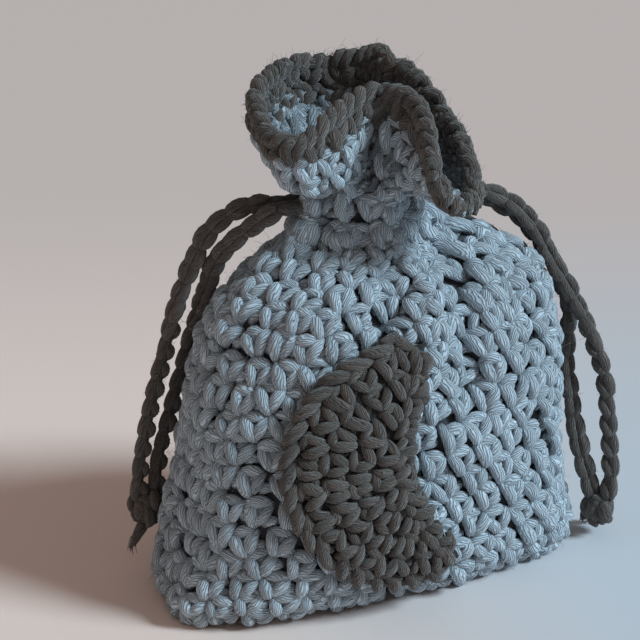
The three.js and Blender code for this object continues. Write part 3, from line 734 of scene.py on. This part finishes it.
class Nodes:
    """Short calls for building a material's node tree."""

    def __init__(self, name):
        self.material = bpy.data.materials.new(name)
        self.material.use_nodes = True
        self.tree = self.material.node_tree
        self.shader = self.tree.nodes["Principled BSDF"]

    def put(self, socket, value):
        if isinstance(value, bpy.types.NodeSocket):
            self.tree.links.new(value, socket)
        else:
            socket.default_value = value

    def node(self, kind, settings=(), **inputs):
        node = self.tree.nodes.new("ShaderNode" + kind)
        for name, value in dict(settings).items():
            setattr(node, name, value)
        for name, value in inputs.items():
            self.put(node.inputs[name.replace("_", " ")], value)
        return node

    def value(self, kind, settings=(), **inputs):
        return self.node(kind, settings, **inputs).outputs[0]

    def maths(self, operation, *values):
        node = self.tree.nodes.new("ShaderNodeMath")
        node.operation = operation
        for socket, value in zip(node.inputs, values):
            self.put(socket, value)
        return node.outputs[0]

    def mix(self, factor, a, b):
        node = self.tree.nodes.new("ShaderNodeMix")
        node.data_type = "RGBA"
        self.put(node.inputs["Factor"], factor)
        for socket, value in ((node.inputs[6], a), (node.inputs[7], b)):
            self.put(socket, (*value, 1) if isinstance(value, tuple) else value)
        return node.outputs[2]

    def spots(self):
        """Places on the piece, in metres."""
        return self.node("TexCoord").outputs["Object"]

    def surface(self, colour, height, distance, strength, **values):
        """The shader's colour, its bump and its plain values."""
        self.put(self.shader.inputs["Base Color"], colour)
        bump = self.node("Bump", Height=height, Distance=distance, Strength=strength)
        self.put(self.shader.inputs["Normal"], bump.outputs[0])
        for name, value in values.items():
            self.put(self.shader.inputs[name.replace("_", " ")], value)
        return self.material


def yarn_material(name, light, dark, streak):
    """Plied cotton: fine strands wound round each leg, some paler by streak, with painted shade in
    the grooves between them."""
    nodes = Nodes(name)
    read = nodes.node("Attribute", {"attribute_name": "strand"})
    split = nodes.node("SeparateXYZ", Vector=read.outputs["Vector"])
    around, along, tone = split.outputs
    own = nodes.maths("MULTIPLY", tone, TONE_SEED)
    spot = nodes.value("CombineXYZ", X=nodes.maths("MULTIPLY", around, 6.0),
                       Y=nodes.maths("MULTIPLY", along, 0.5), Z=own)
    wander = nodes.value("TexNoise", Vector=spot, Scale=1.0, Detail=1.0)
    phase = nodes.maths("MULTIPLY_ADD", along, TWIST, nodes.maths("MULTIPLY", around, STRANDS))
    phase = nodes.maths("MULTIPLY_ADD", wander, WANDER, phase)
    ply = nodes.maths("ABSOLUTE", nodes.maths("SINE", nodes.maths("MULTIPLY", phase, math.pi)))
    ply = nodes.maths("POWER", ply, PLY_POWER)
    which = nodes.value("CombineXYZ", X=nodes.maths("FLOOR", phase), Y=own)
    each = nodes.value("TexWhiteNoise", {"noise_dimensions": "2D"}, Vector=which)
    place = nodes.value("CombineXYZ", X=nodes.maths("MULTIPLY", phase, 4.5),
                        Y=nodes.maths("MULTIPLY", along, 0.8), Z=own)
    fibre = nodes.value("TexNoise", Vector=place, Scale=1.3, Detail=4.0, Roughness=0.75)
    cloud = nodes.value("TexNoise", Vector=nodes.spots(), Scale=75.0, Detail=2.0)
    hairy = nodes.maths("MULTIPLY_ADD", fibre, FIBRE_GAIN, FIBRE_FLOOR)
    streaky = nodes.maths("MULTIPLY_ADD", each, streak, 1 - 0.4 * streak)
    crown = nodes.maths("MULTIPLY", nodes.maths("MULTIPLY", ply, hairy), streaky)
    shade = nodes.maths("MULTIPLY_ADD", tone, TONE_GAIN, TONE_FLOOR)
    shade = nodes.maths("MULTIPLY_ADD", cloud, CLOUD_GAIN, shade)
    # The grooves between strands take the dark colour: painted shade
    colour = nodes.mix(crown, dark, light)
    tint = nodes.value("HueSaturation", Value=shade, Color=colour)
    height = nodes.maths("MULTIPLY_ADD", fibre, 0.8, ply)
    return nodes.surface(tint, height, 0.00036, 0.9, Roughness=0.85,
                         Specular_IOR_Level=0.25, Sheen_Weight=0.3, Sheen_Roughness=0.5)


def shaded_cloth_material(name, light, dark):
    """What shows between the stitches: the same yarn deep in the cloth, darkened as painted shade.
    """
    nodes = Nodes(name)
    grain = nodes.value("TexNoise", Vector=nodes.spots(), Scale=1600.0, Detail=4.0)
    colour = nodes.mix(grain, dark, light)
    return nodes.surface(colour, grain, 0.0003, 0.8, Roughness=0.95)


def linen_material():
    """Plain weave linen of the inner pad."""
    nodes = Nodes("linen_weave")
    split = nodes.node("SeparateXYZ", Vector=nodes.spots())
    threads = [
        nodes.maths("ABSOLUTE", nodes.maths("SINE", nodes.maths("MULTIPLY", part, WEAVE_THREADS)))
        for part in (split.outputs[0], split.outputs[2])
    ]
    weave = nodes.maths("MAXIMUM", *threads)
    colour = nodes.mix(weave, tuple(0.55 * part for part in LINEN), LINEN)
    return nodes.surface(colour, weave, 0.0002, 0.7, Roughness=0.9)


pale_yarn = yarn_material("pale_cotton_yarn", PALE, PALE_GROOVE_SHADE, 0.8)
taupe_yarn = yarn_material("taupe_cotton_yarn", TAUPE, TAUPE_GROOVE_SHADE, 1.1)
# Cloth between the stitches, in painted shade
pale_shade_cloth = shaded_cloth_material("pale_cotton_shade", PALE_SHADE, PALE_SHADE_DARK)
taupe_shade_cloth = shaded_cloth_material("taupe_cotton_shade", TAUPE_SHADE, TAUPE_SHADE_DARK)
linen = linen_material()


# Drawstrings
FRONT = (0, -1, 0)
STRAND_ENDS = (0.0002, 0.0016)  # how far a strand reaches into the neck and into its knot
KNOT_DROP = 0.004
KNOT_REACH = 0.00068
KNOT_WIDTH, KNOT_LINK = 0.0036, 0.0040
TAIL_HALF = 0.00095
TAIL_START = 0.0012
FRAY_HAIRS, FRAY_LONG, FRAY_SPREAD, FRAY_BEND, FRAY_LEAN = 14, 0.0013, 0.00035, 0.0004, 0.18
FRAY_HALF = np.linspace(0.00013, 0.00004, 5)
HELD_WIDTH, HELD_LINK, HELD_ENDS = 0.0030, 0.0040, 0.0018


def longer(points, start, end):
    """A route with both its ends drawn out."""
    first = points[0] + unit(points[0] - points[1]) * start
    last = points[-1] + unit(points[-1] - points[-2]) * end
    return np.concatenate([first[None], points, last[None]])


def strand(name, points, body, node, twist, knot_pieces):
    """A free strand of a drawstring: a crocheted chain that hangs from the neck to its knot."""
    yarn = Yarn()
    path = chain(yarn, longer(points, *STRAND_ENDS), CORD_WIDTH, LINK, FRONT, twist)
    piece = yarn.make(name, taupe_yarn, body)
    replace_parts(piece, node)


def knot(name, outer, inner, body, node, wide):
    """An overhand knot that both strands are tied into, under their ends."""
    place = (outer[-1] + inner[-1]) / 2 - (0, 0, GAP + KNOT_DROP)
    turn = np.linspace(0, 2 * math.pi, 19)[:-1]
    loop = np.stack([
        KNOT_REACH * (np.sin(turn) + 2 * np.sin(2 * turn)) * wide,
        KNOT_REACH * (np.cos(turn) - 2 * np.cos(2 * turn)) * 0.9,
        -KNOT_REACH * np.sin(3 * turn) * 4.0,
    ], axis=1)
    yarn = Yarn()
    chain(yarn, loop + place, KNOT_WIDTH, KNOT_LINK, (0, 0, 1), closed=True, leg_share=0.58,
          hairs=2)
    piece = yarn.make(name, taupe_yarn, body)
    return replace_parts(piece, node)


def tail(name, points, body, node):
    """A cut end of the yarn, frayed at its tip."""
    yarn = Yarn()
    path = evenly(longer(points, TAIL_START, 0), STEPS)
    taper = np.interp(shares(STEPS), [0, 0.2, 0.7, 1], [0.8, 1, 0.95, 0.5]) * TAIL_HALF
    yarn.strokes(path[None], np.broadcast_to((0, -1.0, 0.2), (1, STEPS, 3)), taper[None])
    out = unit(path[-1] - path[-3])
    start = path[-2] + spread(FRAY_SPREAD, (FRAY_HAIRS, 3))
    way = unit(out + spread(FRAY_LEAN, (FRAY_HAIRS, 3)))
    share = shares(5)[None, :, None]
    bend = spread(FRAY_BEND, (FRAY_HAIRS, 1, 3))
    hairs = start[:, None] + way[:, None] * share * FRAY_LONG + bend * share ** 2
    yarn.strokes(hairs, np.broadcast_to((0, -1.0, 0.3), hairs.shape), FRAY_HALF, sides=4)
    piece = yarn.make(name, taupe_yarn, body)
    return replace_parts(piece, node)


def held_chain(name, points, node):
    """The part of a drawstring that runs round the neck inside the gathers."""
    yarn = Yarn()
    ends = longer(points, HELD_ENDS, HELD_ENDS)
    chain(yarn, ends, HELD_WIDTH, HELD_LINK, (0, 0, 1), hairs=0.5)
    piece = yarn.make(name, taupe_yarn)
    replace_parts(piece, node)


def make_drawstrings():
    sides = [
        ("left", LEFT_OUTER, LEFT_INNER, LEFT_TAILS, LEFT_LOOP, 2.2, 1.25),
        ("right", RIGHT_OUTER, RIGHT_INNER, RIGHT_TAILS, RIGHT_LOOP, -2.0, 1.0),
    ]
    for side, outer, inner, tails, loop, twist, wide in sides:
        body = f"{side}_drawstring"
        ends = [tail(f"{side}_yarn_end_{letter}", points, body, f"{side}_tail_{letter}")
                for letter, points in zip("ab", tails)]
        tied = knot(f"{side}_tied_knot", outer, inner, body, f"{side}_knot", wide)
        strand(f"{side}_outer_chain", outer, body, f"{side}_cord_outer", twist, [tied, *ends])
        strand(f"{side}_inner_chain", inner, body, f"{side}_cord_inner", twist * 0.6 + 0.8, [tied])
        held_chain(f"{side}_held_chain", loop, f"{side}_cord_loop")


# Pouch, neck and frill, worked as one cloth
FUZZ_LIFT = -0.0001
POUCH_FIBRES = 2600
PAD_CLEARANCE = 0.0016
PAD_LOW, PAD_HIGH = 0.30, 0.88
cloth = Tube(whole_skin, top=3.0)
POUCH_UP, NECK_UP = cloth.up_to(1), cloth.up_to(2)
EDGING_UP, RIM_UP = cloth.up_to(2 + EDGING_SHARE), cloth.up_to(2.95)


def scatter(tube, count, low, high, lift):
    """Places on a tube between two levels, chosen at random, with their normals."""
    point, normal = tube.place(random.random(count), random.uniform(low, high, count))
    return point + normal * lift, normal


def make_pouch():
    """The deep cloth, its rounds of stitches in four pieces, those of the base, and fibres."""
    grid = inset_grid(cloth, 2.5 * YARN, 0.03, 0.995, 60, 120)
    under = Yarn().skin(grid).make("pouch_cloth", pale_shade_cloth)
    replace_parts(under, "pouch_body")
    rows = round(POUCH_UP / ROW_HEIGHT)
    row_height = POUCH_UP / rows
    cuts = [0, 4, 8, 12, rows]
    for part, (start, end) in enumerate(zip(cuts, cuts[1:])):
        yarn = Yarn()
        low, high = start * row_height, end * row_height
        stitched_tube(yarn, cloth, end - start, STITCH_WIDTH, low, high, start)
        yarn.make(f"pouch_rounds_{part + 1}", pale_yarn)
    flat = Tube(base_skin)
    base = Yarn()
    stitched_tube(base, flat, round(flat.up[-1] / ROW_HEIGHT), STITCH_WIDTH * 1.1)
    base.make("base_rounds", pale_yarn)
    hairs = Yarn()
    fuzz(hairs, *scatter(cloth, POUCH_FIBRES, 0.02, 1.0, FUZZ_LIFT))
    hairs.make("pouch_fuzz", pale_yarn)


def make_pad():
    """The linen pad of dried flowers, inside the pouch."""
    grid = inset_grid(Tube(pouch_skin), POUCH_WALL + PAD_CLEARANCE, PAD_LOW, PAD_HIGH, 30, 72)
    piece = Yarn().skin(grid).make("linen_pad", linen, lowest=POUCH_WALL + PAD_CLEARANCE / 2)
    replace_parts(piece, "scent_pad")


# Rows laid over the seam of neck and pouch: height above it, row height, pitch in stitch widths,
# start and tone, lowered as painted shade under the frill
SEAM_ROWS = [(-0.0006, 0.0050, 0.8, 0.3, 0.3), (0.0022, 0.0048, 0.74, 0.8, 0.1)]
NECK_RAGGED = 1.3


def make_neck():
    """The gathered neck: crowded, uneven stitches over deep cloth."""
    yarn = Yarn()
    pitch = STITCH_WIDTH * 0.78
    # A low tone darkens the neck: painted shade under the frill
    stitched_tube(yarn, cloth, 2, pitch, POUCH_UP, NECK_UP, 1, ragged=NECK_RAGGED, tone=0.3)
    for above, height, share, start, tone in SEAM_ROWS:
        stitch_row(yarn, cloth, POUCH_UP + above, height, STITCH_WIDTH * share, start,
                   ragged=NECK_RAGGED, tone=tone)
    piece = yarn.make("neck_gathers", pale_yarn)
    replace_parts(piece, "neck_band")
    grid = inset_grid(Tube(neck_skin), 2.4 * YARN, 0.0, 1.0, 8, 96)
    Yarn().skin(grid).make("neck_cloth", pale_shade_cloth)


# Frill
FRILL_PITCH = STITCH_WIDTH * 0.86
INNER_LOW, INNER_CHANGE, INNER_HIGH = 0.08, EDGING_SHARE - 0.14, 0.95
EDGING_LAP = 0.0006
EDGE_PITCH = 0.0054
frill_out = Tube(frill_skin)
frill_in = Tube(frill_skin, FRILL_WALL)


def wall_of_frill(name, material, low, high):
    """The cloth between the outer and the inner stitches of the frill, and its flat size."""
    outer = inset_grid(frill_out, 1.5 * YARN, low, high, 14, 144)
    inner = inset_grid(frill_out, FRILL_WALL - 1.5 * YARN, low, high, 14, 144)[::-1]
    piece = Yarn().skin(np.concatenate([outer, inner]), joined=True).make(name, material)
    middle = (outer + inner[::-1]) / 2
    girth = np.linalg.norm(middle - np.roll(middle, 1, axis=1), axis=2).sum(axis=1).mean()
    height = np.linalg.norm(np.diff(middle, axis=0), axis=2).sum(axis=0).mean()
    return piece, (float(girth), float(height))


def inner_rounds(yarn, low, high, tone):
    """Two rounds of stitches on the inner side of the frill, between two levels of it, their tone
    lowered as painted shade.
    """
    low, high = frill_in.up_to(low), frill_in.up_to(high)
    stitched_tube(yarn, frill_in, 2, FRILL_PITCH, low, high, thick=0.85, tone=tone)


# A stitch that is rolled over the edge, in hundredths: along of a stitch width, up the cloth and
# out of its outer side of a millimetre, and half width of half a yarn
OVER_EDGE = hundredths([
    [-42, -360, -200, 62], [-24, -190, -75, 106], [2, -10, -150, 116], [26, -160, -275, 106],
    [42, -320, -160, 62],
])
MILLIMETRE = 0.001
EDGE_RISE, EDGE_SPREAD = 0.0002, 0.0003
EDGE_DEPTH, EDGE_INSET = 0.0022, 0.0017  # from the edge to the middle that the lobes wind round


def rolled_edge(yarn):
    """The last round of the edging: lobes of two strands each, rolled over the free edge."""
    count = round(length_of(RIM) / EDGE_PITCH)
    for part, size in ((-0.20, 1.04), (0.20, 0.94)):
        fine = finely(OVER_EDGE, STEPS + 2)
        fat = size * (1 + spread(CHAIN_SPREAD, count))[:, None]
        place = np.arange(count)[:, None] + part + spread(STRAY, count)[:, None]
        turn = (place + fine[:, 0]) / count
        point, normal = frill_out.place(turn, np.full_like(turn, 0.99))
        up = unit(point - frill_out.place(turn, np.full_like(turn, 0.93))[0])
        rise = random.normal(EDGE_RISE, EDGE_SPREAD, count)[:, None]
        stroke = point + up * (fine[:, 1] * MILLIMETRE + rise)[..., None]
        stroke = stroke + normal * (fine[:, 2] * MILLIMETRE)[:, None]
        middle = point - up * EDGE_DEPTH - normal * EDGE_INSET
        half = fine[:, 3] * YARN * fat
        yarn.strokes(stroke, unit(stroke - middle), half, half * 0.9)


def make_frill():
    """The pale frill and its dark edging, each with stitches on both sides of its cloth."""
    light = Yarn()
    stitched_tube(light, cloth, 3, FRILL_PITCH, NECK_UP, EDGING_UP, 1, thick=0.95)
    # A tone of -1.8 makes the inner pale rounds much darker: painted shade inside the frill
    inner_rounds(light, INNER_LOW, INNER_CHANGE, -1.8)
    rounds = light.make("frill_rounds", pale_yarn)
    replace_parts(rounds, "mouth_frill")
    dark = Yarn()
    stitched_tube(dark, cloth, 1, FRILL_PITCH, EDGING_UP - EDGING_LAP, RIM_UP, 0, thick=0.98)
    # A tone of 0.1 darkens the inner dark rounds a little: painted shade inside the frill
    inner_rounds(dark, INNER_CHANGE, INNER_HIGH, 0.1)
    rolled_edge(dark)
    edge = dark.make("edging_rounds", taupe_yarn)
    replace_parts(edge, "frill_edging")
    hairs = Yarn()
    fuzz(hairs, *scatter(frill_out, 500, 0.75, 1.0, FUZZ_LIFT))
    fuzz(hairs, *scatter(frill_in, 300, 0.7, 1.0, FUZZ_LIFT))
    edge_place, edge_normal = frill_out.place(random.random(700), np.full(700, 1.0))
    upward = np.broadcast_to((0, 0, 1.0), (700, 3))
    fuzz(hairs, edge_place - edge_normal * EDGE_INSET, upward, long=0.0020)
    halo = hairs.make("edging_fuzz", taupe_yarn)
    dark_wall = wall_of_frill("edging_cloth", taupe_shade_cloth, EDGING_SHARE, 0.96)[0]
    pale_wall, size = wall_of_frill("frill_cloth", pale_shade_cloth, 0, EDGING_SHARE)


# Moon
MOON_PATCH_RADIUS = MOON_RADIUS - 2 * MOON_BORDER_RADIUS - GAP
MOON_SWEEP = MOON_FOOT - MOON_TOP
MOON_PROBE = 0.0004  # between places that a normal is taken from
MOON_LOW = 0.0006  # the least height of yarn over the pouch
MOON_CROWN = 0.0009
MOON_LEAN, MOON_LIFT_SPREAD = 0.20, 0.12
MOON_FIBRES, MOON_EDGE_FIBRES, MOON_FIBRES_FROM, MOON_EDGE_SPREAD = 350, 250, 0.016, 0.0006
MOON_ROWS, MOON_ROW_HEIGHT, MOON_PITCH, MOON_THIN = 5, 0.0046, 0.0050, 0.84
MOON_MARGIN, MOON_TOP_MARGIN, MOON_FOOT_MARGIN = 0.0030, 0.0015, 0.0005
HEM_STITCHES, HEM_INSET, HEM_DROP = 12, 0.0034, 0.0012
HEM_HEIGHT, HEM_PITCH, HEM_THIN = 0.0043, 0.0051, 0.82
HEM_TOWARDS = (0.014, 0)  # the hem's stitches point at a place so far left of the moon's centre


def moon_place(x, z):
    """Points of the pouch's front behind the moon and the normals there."""
    point = on_front(x, z)
    right = on_front(x + MOON_PROBE, z) - on_front(x - MOON_PROBE, z)
    up = on_front(x, z + MOON_PROBE) - on_front(x, z - MOON_PROBE)
    return point, unit(np.cross(right, up))


def moon_inner_edge(count):
    """Points (x, z) down the hollow edge of the crescent, from its top tip to its foot."""
    ends = np.array([[math.cos(turn), math.sin(turn)] for turn in (MOON_TOP, MOON_FOOT)])
    top, foot = np.array(MOON_CENTRE) + MOON_PATCH_RADIUS * ends
    share = shares(count)[:, None]
    bow = 1 - (2 * share - 1) ** 2
    chord = foot - top
    aside = unit(np.array([-chord[1], chord[0]]))
    return top + chord * share + aside * (MOON_TIP_WIDTH * (1 - bow) - MOON_HOLLOW * bow)


def moon_arc(radius, turn):
    way = np.stack([np.cos(turn), np.sin(turn)], axis=-1)
    return np.array(MOON_CENTRE) + way * np.asarray(radius)[..., None]


def moon_cloth():
    """The crescent under its stitches, and its width laid flat."""
    outer = moon_arc(np.full(41, MOON_PATCH_RADIUS), np.linspace(MOON_TOP, MOON_FOOT, 41))
    inner = moon_inner_edge(41)
    share = shares(9)[None, :, None]
    flat = outer[:, None] * (1 - share) + inner[:, None] * share
    back, normal = moon_place(flat[..., 0], flat[..., 1])
    edge = np.sqrt(np.clip(1 - (2 * shares(9) - 1) ** 2, 0, 1))[None, :, None]
    back = back + normal * GAP
    face = back + normal * (MOON_LOW + MOON_CROWN * edge)
    width = np.linalg.norm(outer - inner, axis=1).mean()
    yarn = Yarn().skin(np.concatenate([face, back[:, ::-1]], axis=1)[::-1])
    return yarn.make("moon_cloth", taupe_shade_cloth), float(width)


def moon_stitches(yarn, centres, ways, height, width, thick):
    """Stitches at places (x, z) on the moon, each opening along its way."""
    count = len(centres)
    for leg in STITCH:
        fine = finely(leg)
        lean = spread(MOON_LEAN, count)[:, None]
        size = (1 + spread(SIZE_SPREAD, count))[:, None]
        x, y = fine[:, 0] * width * size, fine[:, 1] * height * size
        right = np.stack([ways[:, 1], -ways[:, 0]], axis=1)
        across = x * np.cos(lean) + y * np.sin(lean)
        up = -x * np.sin(lean) + y * np.cos(lean)
        flat = centres[:, None] + right[:, None] * across[..., None] + ways[:, None] * up[..., None]
        point, normal = moon_place(flat[..., 0], flat[..., 1])
        sink = (fine[:, 2] * 0.9 + spread(MOON_LIFT_SPREAD, (count, 1))) * YARN
        lift = np.maximum(MOON_THICKNESS + GAP + sink, MOON_LOW)[..., None]
        half = fine[:, 3] * YARN * thick * size
        yarn.strokes(point + normal * lift, normal, half, half * FLAT)


# The corded outer edge of the moon, one slanted leg in hundredths: along and across of a link, lift
# of a millimetre and half width of half a yarn
ROPE_LEG = hundredths([
    [-72, -24, 90, 60], [-36, -15, 190, 102], [0, 0, 220, 118], [36, 15, 180, 102],
    [72, 22, 80, 60],
])
ROPE_LINK = 0.0044
STEEP_FROM = math.radians(222)  # from here to the foot the links are short and steep
STEEP_IN, STEEP_SINK = 0.0004, 0.0003


def moon_rope():
    """The chain round the outer edge, worked as slanted legs that overlap like a rope."""
    yarn = Yarn()
    radius = MOON_RADIUS - MOON_BORDER_RADIUS
    count = round(radius * MOON_SWEEP / ROPE_LINK)
    place = np.arange(count) + 0.5 + spread(STRAY, count)
    turn = MOON_TOP + place / count * MOON_SWEEP
    steep = np.where(turn > STEEP_FROM, 1.0, 0.0)[:, None]
    fine = finely(ROPE_LEG, STEPS + 1)
    along = fine[:, 0] * ROPE_LINK * (1 - 0.45 * steep)
    across = fine[:, 1] * ROPE_LINK * (1 + 1.1 * steep) - STEEP_IN * steep
    place = moon_arc(radius + across, turn[:, None] + along / radius)
    point, normal = moon_place(place[..., 0], place[..., 1])
    half = fine[:, 3] * YARN * (1 + spread(STRAY, (count, 1)))
    stroke = point + normal * (GAP + fine[:, 2] * MILLIMETRE - STEEP_SINK * steep)[..., None]
    yarn.strokes(stroke, normal, half, half * 0.92)
    turn = np.linspace(MOON_TOP, MOON_FOOT, 60)
    place = moon_arc(np.full(60, radius), turn)
    point, normal = moon_place(place[:, 0], place[:, 1])
    yarn.strokes((point + normal * (GAP + MOON_CROWN))[None], normal[None], MOON_CROWN)
    rim = yarn.make("moon_chain", taupe_yarn)
    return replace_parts(rim, "moon_border")


def make_moon():
    """Arcs of stitches inside the crescent, a hem along its hollow edge, and the chain round it."""
    yarn = Yarn()
    edge = moon_inner_edge(200)
    for row in range(MOON_ROWS):
        ring = MOON_PATCH_RADIUS - (row + 0.45) * MOON_ROW_HEIGHT
        count = max(3, round(ring * MOON_SWEEP / MOON_PITCH))
        turn = MOON_TOP + (np.arange(count + 1) + 0.5 * (row % 2)) / count * MOON_SWEEP
        way = np.stack([np.cos(turn), np.sin(turn)], axis=1)
        centres = moon_arc(np.full(len(turn), ring), turn)
        inner_x = np.interp(-centres[:, 1], -edge[:, 1], edge[:, 0])
        keep = ((centres[:, 0] < inner_x - MOON_MARGIN)
                & (centres[:, 1] < edge[0, 1] - MOON_TOP_MARGIN)
                & (centres[:, 1] > edge[-1, 1] + MOON_FOOT_MARGIN))
        moon_stitches(yarn, centres[keep], way[keep], MOON_ROW_HEIGHT, MOON_PITCH, MOON_THIN)
    hem = moon_inner_edge(HEM_STITCHES + 1)[:-1]
    inward = unit(np.array(MOON_CENTRE) - HEM_TOWARDS - hem)
    places = hem + inward * HEM_INSET - (0, HEM_DROP)
    moon_stitches(yarn, places, -inward, HEM_HEIGHT, HEM_PITCH, HEM_THIN)
    rounds = yarn.make("moon_rounds", taupe_yarn)
    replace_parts(rounds, "moon_patch")
    chain_round = moon_rope()
    hairs = Yarn()
    turn = random.uniform(MOON_TOP, MOON_FOOT, MOON_FIBRES)
    place = moon_arc(random.uniform(MOON_FIBRES_FROM, MOON_RADIUS, MOON_FIBRES), turn)
    edge = moon_inner_edge(MOON_EDGE_FIBRES)
    edge = edge + random.normal(-MOON_EDGE_SPREAD, MOON_EDGE_SPREAD, (MOON_EDGE_FIBRES, 2))
    place = np.concatenate([place, edge])
    point, normal = moon_place(place[:, 0], place[:, 1])
    fuzz(hairs, point + normal * MOON_THICKNESS * 0.9, normal)
    halo = hairs.make("moon_fuzz", taupe_yarn)
    under, width = moon_cloth()


# Table and light
# Table colours: painted warm shade at the left, painted cool light at the right
TABLE_FAR = (0.72, 0.575, 0.52)
TABLE_WARM_SHADE = (0.94, 0.73, 0.64)
TABLE_COOL_LIGHT = (0.63, 0.67, 0.72)
TABLE_REACH = 4.0
KEY_PLACE, KEY_TARGET = Vector((0.56, -0.58, 0.64)), Vector((0, 0, 0.04))
KEY_POWER, KEY_COLOUR, KEY_SPREAD = 3.3, (0.66, 0.87, 1.0), math.radians(16)
SKY_COLOUR, SKY_POWER = (1.0, 0.90, 0.86, 1), 0.25


def make_light():
    """Soft cool light from the front right, and weak warm light all round."""
    data = bpy.data.lights.new("key", "SUN")
    data.energy, data.color, data.angle = KEY_POWER, KEY_COLOUR, KEY_SPREAD
    light = bpy.data.objects.new("key", data)
    light.location = KEY_PLACE
    light.rotation_mode = "QUATERNION"
    light.rotation_quaternion = (KEY_TARGET - KEY_PLACE).to_track_quat("-Z", "Y")
    link(light)
    world = bpy.data.worlds.new("studio")
    world.use_nodes = True
    sky = world.node_tree.nodes["Background"].inputs
    sky["Color"].default_value, sky["Strength"].default_value = SKY_COLOUR, SKY_POWER
    bpy.context.scene.world = world
    bpy.context.scene.view_settings.view_transform = "Standard"


def make_table():
    """A pale table, with warm painted shade at the left and cool painted light at the right, and a
    little darker far behind.
    """
    nodes = Nodes("pale_table")
    split = nodes.node("SeparateXYZ", Vector=nodes.spots())
    across = nodes.maths("MULTIPLY_ADD", split.outputs[1], -0.5, split.outputs[0])
    along = nodes.maths("MULTIPLY_ADD", split.outputs[1], 1.96, split.outputs[0])
    cool, far = (
        nodes.value("MapRange", {"interpolation_type": "SMOOTHERSTEP"},
                    Value=place, From_Min=start, From_Max=end)
        for place, start, end in ((across, -0.07, 0.10), (along, 0.02, 0.60)))
    near = nodes.mix(cool, TABLE_WARM_SHADE, TABLE_COOL_LIGHT)
    nodes.put(nodes.shader.inputs["Base Color"], nodes.mix(far, near, TABLE_FAR))
    nodes.shader.inputs["Roughness"].default_value = 0.7
    mesh = bpy.data.meshes.new("table")
    corners = ((-1, -1), (1, -1), (1, 1), (-1, 1))
    points = [(x * TABLE_REACH, y * TABLE_REACH, 0) for x, y in corners]
    mesh.from_pydata(points, [], [(0, 1, 2, 3)])
    mesh.materials.append(nodes.material)
    table = bpy.data.objects.new("table", mesh)
    link(table)


make_camera()
make_drawstrings()
make_pouch()
make_pad()
make_neck()
make_frill()
make_moon()
make_table()
make_light()
